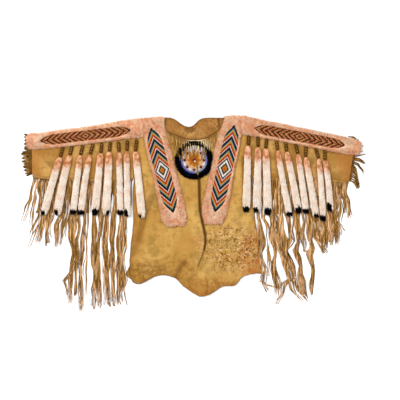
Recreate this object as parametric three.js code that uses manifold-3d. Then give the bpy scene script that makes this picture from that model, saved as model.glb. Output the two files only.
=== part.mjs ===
// A beaded hide shirt lying flat, front side up. Millimetres, +Z up, +X to the viewer's right, +Y to the neck.
// The origin is on the surface that the shirt lies on, under the back panel.
// Left and right are the viewer's own, looking down on the front.
import * as THREE from "three";
import { mergeVertices } from "three/addons/utils/BufferGeometryUtils.js";
import Module from "manifold-3d";

const wasm = await Module();
wasm.setup();

// Driving sizes
const HIDE = 2.0; // thickness of the tanned hide
const SEAM = 0.3; // gap between two pieces that touch
const FRONT_UNDER = HIDE + SEAM; // underside of the front panel, which lies on the back panel
const FRONT_TOP = FRONT_UNDER + HIDE;
const HEM_STEP = 3; // how far the back panel stops short of the front panel's edge
const WAVE = { rise: 0.4, x: 47, y: 58 }; // how a worked hide waves where it lies: height, and size both ways
const SLEEVE_PUFF = 2.4; // how far a sleeve's upper face stands up along its middle
const ARM_RAMP = 120; // length over which a sleeve rises from the flat armhole seam
const FUR_PILE = 9; // height of the fur strips
const PELT = 2.2; // thickness of a fur strip under the beadwork
const BEADWORK = 2.4; // thickness of the beaded strips
const CHEST_BEADS_HALF = 37.5; // half the width of a chest strip's beadwork
const ARM_BEADS_HALF = 24.5; // half the width of a sleeve strip's beadwork
const CHEVRON_SLOPE = 1.45; // length of a chevron's arm along the strip, per unit across it
const ROSETTE = { x: -4, y: 187, rimRadius: 86, beadRadius: 66 };
const THONG = { wide: 5.2, high: 1.7, low: 0.5, step: 2.3 }; // a cut fringe strand, and its two layers
const STRIP_WIDE = 7; // the narrow strip that a sleeve's or cuff's fringe hangs from
const NECK_STRIP_WIDE = 5;
const WRAP = { wide: 17, high: 7 }; // the wrapped bar above each fur tail
const TAIL_HIGH = 14; // thickness of a fur tail

const COLOURS = {
  hide: [0xc9964f, 0.9],
  fringe: [0xb07a3e, 0.92],
  fur: [0xe3a184, 1.0],
  ermine: [0xf3e9e0, 1.0],
  beads: [0x20405a, 0.35],
  dark: [0x0d0c14, 1.0],
  wrap: [0x4a3012, 0.6],
};

// A short table: the names of its columns, and a row for each point or piece.
const table = (columns, rows) =>
  rows.map((row) => Object.fromEntries(columns.split(" ").map((name, i) => [name, row[i]])));

// Outline of the front panel: the shoulders and neck, the hem cut like an animal's legs, and the two sides.
const TOP = table("x y", [
  [-273, 369], [-244, 378], [-212, 385], [-174, 390], [-141, 385], [-113, 384], [-89, 374],
  [-61, 352], [-33, 341], [-17, 341], [0, 354], [19, 375], [47, 383], [94, 384], [136, 384],
  [165, 391], [197, 394], [226, 385], [249, 378],
]);
const HEM = table("x y", [
  [-305, -364], [-303, -376], [-294, -391], [-277, -398], [-258, -395], [-235, -385], [-211, -371],
  [-197, -362], [-174, -355], [-146, -351], [-113, -358], [-89, -366], [-70, -383], [-57, -408],
  [-33, -421], [-14, -434], [9, -448], [28, -455], [52, -451], [75, -442], [94, -430],
  [119, -409], [141, -403], [165, -404], [188, -405], [202, -392], [212, -370], [222, -359],
  [244, -353], [273, -346], [296, -343], [309, -346],
]);
const SIDES = table("y left right", [
  [400, -271, 248], [369, -273, 249], [240, -278, 256], [103, -284, 263], [47, -293, 269],
  [-47, -291, 277], [-117, -289, 285], [-165, -296, 294], [-211, -302, 300], [-258, -305, 303],
  [-305, -307, 310], [-349, -307, 312], [-470, -305, 312],
]);
const BACK_CORNER = table("y out", [[-260, 0], [-320, 6], [-350, 18], [-359, 13], [-364, 0]]);

// The fold down the middle of the front: a soft rise on the left that drops steeply on the right.
const CREASE = table("y x rise", [
  [84, 15, 0], [66, 15.2, 4], [48, 15.6, 7], [0, 16, 7.5], [-40, 18, 7.5], [-70, 22, 7.5],
  [-122, 34, 7], [-165, 43, 6.5], [-200, 44, 6], [-235, 38, 5], [-270, 29, 3], [-320, 24, 1.2], [-380, 20, 0],
]);
const CREASE_SOFT = 42; // width of the soft side
const CREASE_STEEP = 5; // width of the steep side
// Smaller folds: a ridge from one point to the other.
const RIDGES = table("x y toX toY rise wide", [
  [-232, 30, -258, -130, 3.2, 16], // below the left armhole
  [-258, -130, -292, -300, 2.6, 15],
  [-226, 190, -236, 90, 2.2, 13],
  [214, 190, 224, -40, 3.0, 14], // below the right armhole
  [-84, -352, -48, -262, 3.4, 13], // where the hem is drawn up
  [-240, -290, -120, -272, 1.8, 17],
  [-700, 230, -560, 220, 1.2, 15], // along the left sleeve
  [600, 200, 700, 178, 1.2, 15], // along the right sleeve
]);

// Sleeves, from the armhole to the cuff: the folded edge at the top and the sewn edge below.
const SLEEVE_LEFT = table("topX topY lowX lowY", [
  [-273.8, 366, -285.8, 101], [-329, 361, -343, 99], [-399, 351, -409, 96], [-470, 340, -479, 99],
  [-540, 328, -550, 101], [-611, 320, -620, 103], [-681, 312, -686, 107], [-728, 306, -733, 111],
  [-766, 304, -765, 121],
]);
const SLEEVE_RIGHT = table("topX topY lowX lowY", [
  [250.2, 372, 264.6, 103], [315, 360, 324, 103], [385, 349, 390, 105], [456, 334, 456, 106],
  [526, 320, 522, 103], [597, 304, 588, 101], [667, 290, 649, 96], [719, 280, 691, 92],
  [752, 272, 724, 86],
]);

// Fur strips: both edges of each, from the neck end outwards or from the shoulder down.
const FUR_SLEEVE_LEFT = table("ax ay bx by", [
  [-245, 383, -238.5, 297], [-305, 374, -305, 294], [-376, 363, -376, 285], [-446, 348, -446, 275],
  [-517, 336, -517, 266], [-587, 329, -587, 258], [-658, 320, -658, 250], [-728, 310, -728, 244],
  [-768, 310, -768, 240], [-786, 302, -786, 252],
]);
const FUR_SLEEVE_RIGHT = table("ax ay bx by", [
  [215.5, 396, 217.5, 311], [258, 386, 258, 306], [315, 370, 315, 296], [385, 357, 385, 285],
  [456, 342, 456, 271], [526, 328, 526, 258], [597, 311, 597, 242], [667, 298, 667, 227],
  [724, 288, 724, 217], [757, 282, 757, 214], [777, 266, 777, 232],
]);
const FUR_CHEST_LEFT = table("ax ay bx by", [
  [-242, 385, -148, 391], [-240, 338, -148, 350], [-234, 291, -139, 305], [-223, 240, -122, 254],
  [-209, 188, -108, 202], [-197, 136, -96, 150], [-186, 85, -85, 99], [-176, 33, -70, 47],
  [-167, -19, -56, -5], [-158, -66, -45, -56], [-150, -100, -40, -90], [-132, -122, -54, -118],
]);
const FUR_CHEST_RIGHT = table("ax ay bx by", [
  [143, 393, 213.5, 397], [130, 343, 216, 350], [111, 294, 214, 306], [97, 244, 203, 257],
  [86, 194, 191, 207], [78, 146, 182, 158], [68, 96, 173, 107], [56, 45, 166, 56],
  [44, -5, 159, 5], [35, -52, 150, -42], [32, -84, 142, -76], [48, -112, 124, -108],
]);

// Beaded strips: the tips of each, on the fur strip's middle line.
const BEADS = table("name x y toX toY half", [
  ["chest_beads_left", -207, 341, -101, -63, CHEST_BEADS_HALF],
  ["chest_beads_right", 186, 353, 93, -59, CHEST_BEADS_HALF],
  ["sleeve_beads_left", -299, 328, -728, 276, ARM_BEADS_HALF],
  ["sleeve_beads_right", 275, 338, 705, 256, ARM_BEADS_HALF],
]);

// Lower edge of the neck flap, where its fringe hangs.
const SCALLOP = table("x y", [
  [-137, 321], [-117, 312], [-89, 302], [-61, 291], [-33, 284], [-5, 281], [23, 283], [52, 290],
  [75, 302], [99, 317], [113, 329], [123, 342],
]);

// Wrapped bars and fur tails: the bar's top, the knot between the two, a bend, the tip and the tail's width.
const TAILS_LEFT = table("barX barY knotX knotY bendX bendY tipX tipY wide", [
  [-618, 249, -632, 202, -672, 70, -707, -59, 38], [-576, 251, -587, 211, -623, 70, -644, -61, 40],
  [-525, 256, -537, 211, -556, 70, -571, -56, 32], [-477, 262, -493, 214, -519, 70, -535, -59, 32],
  [-437, 267, -442, 221, -456, 70, -470, -61, 38], [-396, 273, -402, 228, -409, 70, -419, -61, 40],
  [-359, 273, -356, 226, -353, 70, -350, -61, 31], [-316, 279, -320, 231, -319, 70, -316, -68, 31],
  [-273, 280, -280, 229, -262, 70, -249, -73, 38],
]);
const TAILS_RIGHT = table("barX barY knotX knotY bendX bendY tipX tipY wide", [
  [252, 302, 249, 258, 244, 103, 240, -47, 38], [295, 299, 296, 249, 293, 103, 288, -47, 38],
  [337, 289, 331, 243, 337, 103, 341, -61, 40], [382, 278, 387, 234, 409, 103, 442, -66, 31],
  [425, 272, 429, 228, 453, 117, 485, -52, 35], [471, 264, 482, 217, 497, 117, 520, -54, 32],
  [521, 251, 518, 202, 538, 94, 566, -70, 34], [565, 243, 580, 196, 590, 84, 601, -89, 29],
  [609, 235, 609, 187, 624, 94, 635, -42, 30],
]);
const TAIL_SHAPE = table("along wide high", [
  [0, 0.5, 0.5], [0.04, 0.82, 0.8], [0.15, 0.88, 0.95], [0.42, 0.86, 1], [0.75, 1.02, 0.95],
  [0.94, 1.04, 0.8], [1, 0.6, 0.4],
]);

// Locks of fringe under the sleeves: where each leaves the seam, two bends, its tip, and its strands.
const LOCKS_LEFT = table("rootX nearX nearY farX farY tipX tipY strands spread", [
  [-752, -771, 8, -788, -42, -812, -100, 1, 1], [-736, -759, -24, -769, -94, -764, -130, 1, 1],
  [-715, -732, -24, -748, -113, -765, -156, 2, 1], [-697, -709, -61, -739, -136, -780, -221, 1, 1],
  [-676, -703, -70, -720, -141, -736, -197, 3, 1.1], [-656, -691, -70, -697, -150, -697, -207, 3, 1.2],
  [-644, -671, -61, -684, -122, -674, -186, 1, 1], [-618, -632, -70, -649, -150, -660, -216, 3, 1.3],
  [-595, -607, -70, -622, -150, -630, -214, 2, 1.5], [-582, -590, -61, -602, -122, -606, -183, 1, 1],
  [-558, -569, -94, -577, -258, -588, -480, 3, 1.3], [-539, -552, -94, -555, -245, -565, -452, 2, 1.2],
  [-514, -517, -94, -531, -282, -539, -517, 3, 1.3], [-494, -502, -94, -505, -290, -511, -440, 1, 1],
  [-472, -474, -94, -468, -305, -473, -508, 3, 1.2], [-442, -444, -94, -450, -305, -449, -499, 3, 1.2],
  [-426, -427, -94, -427, -290, -424, -484, 1, 1], [-406, -411, -94, -413, -305, -405, -494, 3, 1.3],
  [-376, -376, -94, -386, -290, -380, -494, 3, 1.3], [-345, -346, -94, -359, -305, -359, -489, 3, 1.2],
  [-325, -329, -94, -346, -290, -340, -470, 2, 1.2], [-312, -317, -61, -335, -340, -318, -484, 1, 1],
]);
const LOCKS_RIGHT = table("rootX nearX nearY farX farY tipX tipY strands spread", [
  [292, 300, -75, 314, -220, 334, -432, 2, 1.2], [318, 325, -75, 342, -185, 353, -359, 1, 1],
  [345, 352, -75, 374, -245, 380, -438, 3, 1.3], [358, 367, -75, 405, -245, 513, -464, 3, 1.2],
  [384, 388, -75, 392, -140, 394, -190, 1, 1], [398, 404, -75, 428, -230, 452, -345, 2, 1.2],
  [424, 428, -75, 436, -130, 438, -200, 1, 1], [440, 446, -75, 444, -150, 436, -262, 1, 1],
  [470, 475, -75, 478, -235, 512, -450, 4, 1.2], [506, 514, -75, 546, -190, 538, -438, 3, 0.8],
  [522, 530, -75, 556, -160, 598, -245, 2, 1.2], [545, 553, -75, 572, -150, 604, -250, 2, 1.2],
  [566, 572, -75, 592, -150, 590, -208, 3, 1.2], [590, 596, -75, 612, -150, 612, -220, 4, 1.2],
  [612, 617, -75, 632, -150, 632, -204, 3, 1.2], [630, 636, -75, 650, -132, 666, -202, 4, 1.1],
  [652, 658, -60, 664, -110, 672, -170, 2, 1.2], [664, 674, -24, 666, -104, 706, -148, 1, 1],
  [678, 686, 0, 687, -56, 682, -99, 1, 1], [694, 706, 19, 710, -38, 710, -85, 1, 1],
  [708, 709, 19, 715, -24, 727, -85, 2, 1.5],
]);
const LOCK_PITCH = 4.6; // distance between neighbouring strands of one lock

// Single strands that curl away over the others: the root, three bends and the tip.
const CURLS_LEFT = table("rootX x1 y1 x2 y2 x3 y3 tipX tipY", [
  [-569, -584, -200, -556, -310, -612, -362, -602, -442],
]);
const CURLS_RIGHT = table("rootX x1 y1 x2 y2 x3 y3 tipX tipY", [
  [282, 300, -200, 314, -380, 362, -414, 428, -372], [494, 505, -140, 514, -205, 530, -250, 556, -244],
  [396, 400, -150, 408, -300, 440, -395, 492, -474], [372, 380, -190, 438, -345, 418, -404, 377, -488],
]);

// Cuff fringe: where each strand leaves the cuff, from 0 at its top to 1 below, and how far out and down it ends.
const CUFF_LEFT = table("at reach drop", [
  [0.02, 26, -8], [0.06, 31, -3], [0.1, 24, 2], [0.145, 30, 0], [0.19, 26, 3], [0.235, 31, -2],
  [0.28, 25, 3], [0.325, 29, 0], [0.37, 26, -3], [0.415, 30, 2], [0.46, 38, 0], [0.505, 44, -4],
  [0.55, 37, 3], [0.595, 45, 1], [0.64, 41, 5], [0.685, 47, -2], [0.73, 36, 2], [0.775, 40, 4],
  [0.82, 33, -1], [0.865, 36, 5], [0.91, 28, 1], [0.95, 30, 6], [0.985, 22, 9],
]);
const CUFF_RIGHT = table("at reach drop", [
  [0.015, -36, -30], [0.05, -14, -37], [0.08, 12, -30], [0.12, 38, -3], [0.17, 22, -3], [0.22, 42, 2],
  [0.29, 24, 2], [0.36, 52, -12], [0.39, 54, 26], [0.42, 56, 22], [0.45, 54, 18], [0.49, 48, 48],
  [0.53, 50, 50], [0.57, 26, 60], [0.61, 28, 66], [0.65, 28, 62], [0.69, 30, 66], [0.74, 34, 58],
  [0.79, 36, 64], [0.84, 38, 60], [0.9, 34, 46], [0.96, 34, 40],
]);
const NECK_STRANDS = 23;
const NECK_LENGTH = table("at length", [
  [0, 62], [0.12, 92], [0.25, 108], [0.36, 92], [0.5, 84], [0.64, 88], [0.76, 106], [0.88, 84], [1, 40],
]);

const smooth = (t) => {
  const s = Math.min(1, Math.max(0, t));
  return s * s * (3 - 2 * s);
};
const mix = (a, b, t) => a + (b - a) * t;

// The value of a smooth curve through a table's rows, at a place along one of its columns.
function follow(rows, along, value, place) {
  const up = rows[rows.length - 1][along] > rows[0][along] ? 1 : -1;
  const last = rows.length - 2;
  let i = rows.findIndex((row, n) => n > 0 && up * (row[along] - place) >= 0) - 1;
  i = i < 0 ? (up * (place - rows[0][along]) < 0 ? 0 : last) : Math.min(i, last);
  const slope = (n) => {
    const a = rows[Math.max(0, n - 1)];
    const b = rows[Math.min(rows.length - 1, n + 1)];
    return (b[value] - a[value]) / (b[along] - a[along]);
  };
  const span = rows[i + 1][along] - rows[i][along];
  const t = Math.min(1, Math.max(0, (place - rows[i][along]) / span));
  const [a, b] = [rows[i][value], rows[i + 1][value]];
  const h = (1 - t) * t * span;
  return mix(a, b, smooth(t)) + h * ((1 - t) * slope(i) - t * slope(i + 1));
}

// Height of the garment's upper face above the surface it lies on, folds and puffed sleeves included.
function creaseRise(x, y) {
  if (y > CREASE[0].y || y < CREASE[CREASE.length - 1].y) return 0;
  const off = x - follow(CREASE, "y", "x", y);
  const rise = follow(CREASE, "y", "rise", y);
  return off < 0 ? rise * Math.exp(-((off / CREASE_SOFT) ** 2)) : rise * (1 - smooth(off / CREASE_STEEP));
}
function ridgeRise(x, y) {
  let rise = 0;
  for (const fold of RIDGES) {
    const along = new THREE.Vector2(fold.toX - fold.x, fold.toY - fold.y);
    const length = along.length();
    along.normalize();
    const from = new THREE.Vector2(x - fold.x, y - fold.y);
    const run = from.dot(along) / length;
    const off = from.cross(along) / fold.wide;
    rise += fold.rise * Math.exp(-off * off) * smooth((run + 0.25) * 2) * smooth((1.25 - run) * 2);
  }
  return rise;
}
function sleeveRise(x, y) {
  const [rows, out] = x < 0 ? [SLEEVE_LEFT, -1] : [SLEEVE_RIGHT, 1];
  const beyond = (x - rows[0].lowX) * out;
  if (beyond <= 0) return 0;
  const top = follow(rows, "topX", "topY", x);
  const low = follow(rows, "lowX", "lowY", x);
  const across = Math.min(1, Math.max(0, (top - y) / (top - low)));
  return SLEEVE_PUFF * smooth(beyond / ARM_RAMP) * Math.sin(Math.PI * across);
}
const waveRise = (x, y) => (WAVE.rise / 2) * (1 + Math.sin(x / WAVE.x + 1) * Math.cos(y / WAVE.y));
const upper = (x, y) => FRONT_TOP + waveRise(x, y) + creaseRise(x, y) + ridgeRise(x, y) + sleeveRise(x, y);

// Building closed solids
// A geometry from points and triangles, turned to face out.
function closed(points, faces) {
  const volume = faces.reduce((sum, [a, b, c]) => {
    return sum + points[a].dot(new THREE.Vector3().crossVectors(points[b], points[c]));
  }, 0);
  const index = faces.flatMap(([a, b, c]) => (volume < 0 ? [a, c, b] : [a, b, c]));
  return new THREE.BufferGeometry().setFromPoints(points).setIndex(index);
}
// Joins two rows of points, ring or strip, with triangles.
function band(faces, a, b, count, ring) {
  for (let i = 0; i < (ring ? count : count - 1); i += 1) {
    const j = (i + 1) % count;
    faces.push([a + i, b + i, b + j], [a + i, b + j, a + j]);
  }
}
// A wall of cloth between two grids of points, the upper and the under face.
function wall(upperRows, underRows) {
  const [rows, cols] = [upperRows.length, upperRows[0].length];
  const points = [...upperRows.flat(), ...underRows.flat()];
  const under = rows * cols;
  const faces = [];
  for (let r = 0; r + 1 < rows; r += 1) {
    band(faces, r * cols, (r + 1) * cols, cols, false);
    band(faces, under + (r + 1) * cols, under + r * cols, cols, false);
  }
  const rim = [];
  for (let c = 0; c < cols; c += 1) rim.push(c);
  for (let r = 1; r < rows; r += 1) rim.push(r * cols + cols - 1);
  for (let c = cols - 2; c >= 0; c -= 1) rim.push((rows - 1) * cols + c);
  for (let r = rows - 2; r > 0; r -= 1) rim.push(r * cols);
  rim.forEach((a, i) => {
    const b = rim[(i + 1) % rim.length];
    faces.push([a, b, under + b], [a, under + b, under + a]);
  });
  return closed(points, faces);
}
// A solid lofted through rings of points, closed flat at both ends.
function loft(rings) {
  const count = rings[0].length;
  const points = rings.flat();
  const faces = [];
  rings.slice(1).forEach((_, i) => band(faces, i * count, (i + 1) * count, count, true));
  const end = (rings.length - 1) * count;
  for (let i = 1; i + 1 < count; i += 1) {
    faces.push([0, i, i + 1], [end, end + i + 1, end + i]);
  }
  return closed(points, faces);
}
// A tube of cloth lofted through outer and inner rings, open at both ends.
function openTube(outer, inner) {
  const count = outer[0].length;
  const points = [...outer.flat(), ...inner.flat()];
  const start = outer.length * count;
  const end = (outer.length - 1) * count;
  const faces = [];
  for (let i = 0; i + 1 < outer.length; i += 1) {
    band(faces, i * count, (i + 1) * count, count, true);
    band(faces, start + (i + 1) * count, start + i * count, count, true);
  }
  band(faces, start, 0, count, true);
  band(faces, end, start + end, count, true);
  return closed(points, faces);
}
function solid(geometry) {
  const bare = geometry.clone();
  bare.deleteAttribute("normal");
  bare.deleteAttribute("uv");
  const merged = mergeVertices(bare);
  return new wasm.Manifold(
    new wasm.Mesh({
      numProp: 3,
      vertProperties: new Float32Array(merged.attributes.position.array),
      triVerts: new Uint32Array(merged.index.array),
    }),
  );
}
function joined(geometries) {
  const whole = wasm.Manifold.union(geometries.map(solid));
  const mesh = whole.getMesh();
  return new THREE.BufferGeometry()
    .setAttribute("position", new THREE.BufferAttribute(new Float32Array(mesh.vertProperties), 3))
    .setIndex(new THREE.BufferAttribute(new Uint32Array(mesh.triVerts), 1));
}

const shirt = new THREE.Group();
function piece(name, geometry, colour) {
  const [color, roughness] = COLOURS[colour];
  const mesh = new THREE.Mesh(geometry, new THREE.MeshStandardMaterial({ color, roughness, metalness: 0 }));
  mesh.name = name;
  shirt.add(mesh);
}

// Body
const PANEL_ROWS = 18;
const PANEL_LEFT_COLS = 12;
const PANEL_RIGHT_COLS = 12;
// A point of the front panel: side is 0 at the left edge, 1 on the crease or just past it, 2 at the right edge.
function panelPoint(side, pastCrease, down) {
  let [x, y] = [0, mix(380, -380, down)];
  for (let pass = 0; pass < 6; pass += 1) {
    const crease = follow(CREASE, "y", "x", Math.min(CREASE[0].y, y)) + (pastCrease ? CREASE_STEEP : 0);
    x = pastCrease
      ? mix(crease, follow(SIDES, "y", "right", y), side - 1)
      : mix(follow(SIDES, "y", "left", y), crease, side);
    y = mix(follow(TOP, "x", "y", x), follow(HEM, "x", "y", x), down);
  }
  return { x, y };
}
function frontPanel() {
  const rows = [];
  for (let r = 0; r <= PANEL_ROWS; r += 1) {
    const row = [];
    for (let c = 0; c <= PANEL_LEFT_COLS; c += 1) {
      row.push(panelPoint(c / PANEL_LEFT_COLS, false, r / PANEL_ROWS));
    }
    for (let c = 0; c <= PANEL_RIGHT_COLS; c += 1) {
      row.push(panelPoint(1 + c / PANEL_RIGHT_COLS, true, r / PANEL_ROWS));
    }
    rows.push(row);
  }
  const face = (lift) => rows.map((row) => row.map(({ x, y }) => new THREE.Vector3(x, y, upper(x, y) - lift)));
  return wall(face(0), face(HIDE));
}
function backPanel() {
  const left = SIDES.filter((row) => row.y < 360 && row.y > -349);
  const edge = [
    ...TOP.map(({ x, y }) => [x * 0.99, y - HEM_STEP]),
    ...left.map(({ y, right }) => [right - HEM_STEP, y]),
    ...HEM.slice(1, -1).reverse().map(({ x, y }) => [x * 0.99, y + HEM_STEP]),
    ...BACK_CORNER.slice(1, -1).reverse().map(({ y, out }) => [follow(SIDES, "y", "left", y) - out, y]),
    ...left.filter((row) => row.y > -310).reverse().map(({ y, left: x }) => [x + HEM_STEP, y]),
  ];
  const outline = new THREE.Shape(edge.map(([x, y]) => new THREE.Vector2(x, y)));
  return new THREE.ExtrudeGeometry(outline, { depth: HIDE, bevelEnabled: false });
}

// Sleeves
const SLEEVE_STATIONS = 12;
const SLEEVE_UPPER = [0, 0.03, 0.12, 0.28, 0.45, 0.62, 0.78, 0.9, 0.97, 1]; // places across the upper face
const SLEEVE_UNDER = [0.985, 0.66, 0.33, 0.015]; // and back across the under face
const SLEEVE_EDGE = 1.1; // height at which the folded edge turns
function sleeve(rows) {
  const [outer, inner] = [[], []];
  for (let s = 0; s <= SLEEVE_STATIONS; s += 1) {
    const station = 1 + ((rows.length - 1) * s) / SLEEVE_STATIONS;
    const numbered = rows.map((row, i) => ({ ...row, n: i + 1 }));
    const at = (column) => follow(numbered, "n", column, station);
    const [top, low] = [new THREE.Vector2(at("topX"), at("topY")), new THREE.Vector2(at("lowX"), at("lowY"))];
    const wide = top.distanceTo(low);
    const ring = (inset, lift) => {
      const place = (a) => top.clone().lerp(low, mix(inset / wide, 1 - inset / wide, a));
      return [
        ...SLEEVE_UPPER.map((a) => {
          const p = place(a);
          const edge = a === 0 || a === 1 ? SLEEVE_EDGE : 0;
          return new THREE.Vector3(p.x, p.y, upper(p.x, p.y) - lift - (lift ? 0 : edge));
        }),
        ...SLEEVE_UNDER.map((a) => new THREE.Vector3(place(a).x, place(a).y, lift ? HIDE : 0)),
      ];
    };
    outer.push(ring(0, 0));
    inner.push(ring(HIDE, HIDE));
  }
  return openTube(outer, inner);
}

// A beaded strip's own frame: its length, the runs that its rings stand at, the half width of the beadwork there,
// and the plan's points turned into runs along it and offsets across it, and back.
const BEAD_RINGS = 6;
function stripFrame({ x, y, toX, toY, half }) {
  const tip = new THREE.Vector2(x, y);
  const along = new THREE.Vector2(toX, toY).sub(tip);
  const length = along.length();
  along.normalize();
  const across = new THREE.Vector2(-along.y, along.x);
  const point = half * CHEVRON_SLOPE;
  return {
    length,
    runs: Array.from({ length: BEAD_RINGS }, (_, i) => mix(point, length - point, i / (BEAD_RINGS - 1))),
    halfAt: (run) => half * Math.max(0, Math.min(1, run / point, (length - run) / point)),
    place: (run, off) => tip.clone().addScaledVector(along, run).addScaledVector(across, off),
    local: (p) => ({ run: p.clone().sub(tip).dot(along), off: p.clone().sub(tip).dot(across) }),
  };
}

// Fur strips: a pile that rounds off at the edges, with a bed for the beadwork along the middle.
const FUR_GAP = 0.5; // from the hide to the pelt, enough where the hide curves between two stations
const FUR_EDGE = 1.6; // height of the pelt's rim
const BED_GAP = 1; // from the beadwork to the foot of the pile around it
const BED_WALL = 4; // width of the slope from the pile down to the bed
const FUR_SHOULDER = 0.72; // share of the pile's height just inside the rim
function furStations(rows, { length, runs, place, local }) {
  const ends = rows.map((row) => [new THREE.Vector2(row.ax, row.ay), new THREE.Vector2(row.bx, row.by)]);
  const edges = [0, 1].map((side) => ends.map((pair) => local(pair[side])));
  const square = (run) => edges.map((edge) => place(run, follow(edge, "run", "off", run)));
  const clear = BED_GAP + BED_WALL;
  const stations = [
    ...ends.filter((pair) => pair.every((p) => local(p).run < -2 * clear)),
    ...[-clear, -BED_GAP, ...runs, length + BED_GAP, length + clear].map(square),
    ...ends.filter((pair) => pair.every((p) => local(p).run > length + 2 * clear)),
  ];
  const nearEnd = (end, next) => end.map((p, i) => p.clone().lerp(next[i], 0.15));
  stations.splice(1, 0, nearEnd(stations[0], stations[1]));
  stations.splice(-1, 0, nearEnd(stations.at(-1), stations.at(-2)));
  return stations;
}
function furStrip(rows, beads) {
  const frame = stripFrame(beads);
  const stations = furStations(rows, frame);
  const [topRows, underRows] = [[], []];
  stations.forEach(([a, b], s) => {
    const [from, to] = [frame.local(a), frame.local(b)];
    const run = (from.run + to.run) / 2;
    const half = frame.halfAt(run);
    const share = (off) => (off * Math.sign(to.off) - from.off) / (to.off - from.off);
    const [top, wallFoot] = [half + BED_GAP + BED_WALL, half + BED_GAP];
    const atEnd = s === 0 || s === stations.length - 1;
    const bed = run > -2 * BED_GAP && run < frame.length + 2 * BED_GAP ? PELT : FUR_PILE;
    const shoulder = FUR_PILE * FUR_SHOULDER;
    const columns = [
      [0, FUR_EDGE], [share(-top) * 0.35, shoulder], [share(-top), FUR_PILE],
      [share(-wallFoot), bed], [share(0), bed], [share(wallFoot), bed],
      [share(top), FUR_PILE], [mix(1, share(top), 0.35), shoulder], [1, FUR_EDGE],
    ];
    const rest = (p) => upper(p.x, p.y) + FUR_GAP;
    const points = columns.map(([t]) => a.clone().lerp(b, t));
    const heights = columns.map(([, height]) => (atEnd ? FUR_EDGE : height));
    topRows.push(points.map((p, i) => new THREE.Vector3(p.x, p.y, rest(p) + heights[i])));
    underRows.push(points.map((p) => new THREE.Vector3(p.x, p.y, rest(p))));
  });
  return wall(topRows, underRows);
}

// Beaded strips: a flat band with a point at each end, on the bed of its fur strip.
const BEAD_REST = FUR_GAP + PELT + SEAM + 0.3;
const TIP_HALF = 1.5; // half the width that the points are cut off at
function beadStrip(beads) {
  const { length, runs, halfAt, place } = stripFrame(beads);
  const rings = [0, ...runs, length].map((run) => {
    const reach = Math.max(TIP_HALF, halfAt(run));
    return [-1, 0, 1, 1, 0, -1].map((side, i) => {
      const p = place(run, side * reach);
      return new THREE.Vector3(p.x, p.y, upper(p.x, p.y) + BEAD_REST + (i < 3 ? 0 : BEADWORK));
    });
  });
  return loft(rings);
}

// Rosette: a round of dark fur, and the beaded disc on it.
const RIM_HIGH = 5;
const RIM_PELT = 1.5;
const DISC_HIGH = 4.6;
const ROSETTE_REST = FRONT_TOP + WAVE.rise + SEAM;
function turned(profile, rest) {
  const lathe = new THREE.LatheGeometry(profile.map(([r, z]) => new THREE.Vector2(r, z)), 32);
  return lathe.rotateX(Math.PI / 2).translate(ROSETTE.x, ROSETTE.y, rest);
}
function rosetteRim() {
  const [out, bed] = [ROSETTE.rimRadius, ROSETTE.beadRadius + 1.5];
  const profile = [
    [0, 0], [out - 3, 0], [out, 1.2], [out - 6, 3.6], [bed + 6, RIM_HIGH], [bed, RIM_HIGH - 1],
    [bed - 0.5, RIM_PELT], [0, RIM_PELT],
  ];
  return turned(profile, ROSETTE_REST);
}
function rosetteBeads() {
  const r = ROSETTE.beadRadius;
  const profile = [[0, 0], [r, 0], [r, 2.2], [r * 0.92, 3.2], [r * 0.6, 4], [r * 0.12, DISC_HIGH], [0, DISC_HIGH]];
  return turned(profile, ROSETTE_REST + RIM_PELT + SEAM);
}
function rosetteTop(x, y) {
  const r = Math.hypot(x - ROSETTE.x, y - ROSETTE.y);
  if (r > ROSETTE.rimRadius + 6) return 0;
  if (r > ROSETTE.beadRadius + 3) return ROSETTE_REST + RIM_HIGH;
  return ROSETTE_REST + RIM_PELT + SEAM + mix(DISC_HIGH, 3.2, smooth(r / ROSETTE.beadRadius));
}

// Fringe
// The corners that a cut strand turns at, along a smooth curve through points on the plan.
function bends(points, steps) {
  const path = new THREE.CatmullRomCurve3(points.map(([x, y]) => new THREE.Vector3(x, y, 0)));
  return path.getSpacedPoints(steps);
}
// A strand with its flat side down, at the height that rest gives.
function strand(line, rest) {
  const last = line.length - 1;
  const rings = line.map((p, i) => {
    const run = line[Math.min(last, i + 1)].clone().sub(line[Math.max(0, i - 1)]);
    const across = new THREE.Vector3(-run.y, run.x, 0).setLength(THONG.wide / (i === last ? 4.5 : 2));
    const foot = new THREE.Vector3(p.x, p.y, rest(p.x, p.y));
    const ridge = new THREE.Vector3(0, 0, i === last ? THONG.high * 0.7 : THONG.high);
    return [foot.clone().sub(across), foot.clone().add(across), foot.clone().add(ridge)];
  });
  return loft(rings);
}
// The narrow strip that holds the roots, along a line on the plan, from low to high.
function backing(line, wide, low, high) {
  const rings = line.map((p, i) => {
    const [a, b] = [line[Math.max(0, i - 1)], line[Math.min(line.length - 1, i + 1)]];
    const across = new THREE.Vector2(a.y - b.y, b.x - a.x).setLength(wide / 2);
    return [[-1, low], [1, low], [1, high], [-1, high]].map(
      ([side, z]) => new THREE.Vector3(p.x + across.x * side, p.y + across.y * side, z),
    );
  });
  return loft(rings);
}
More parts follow.
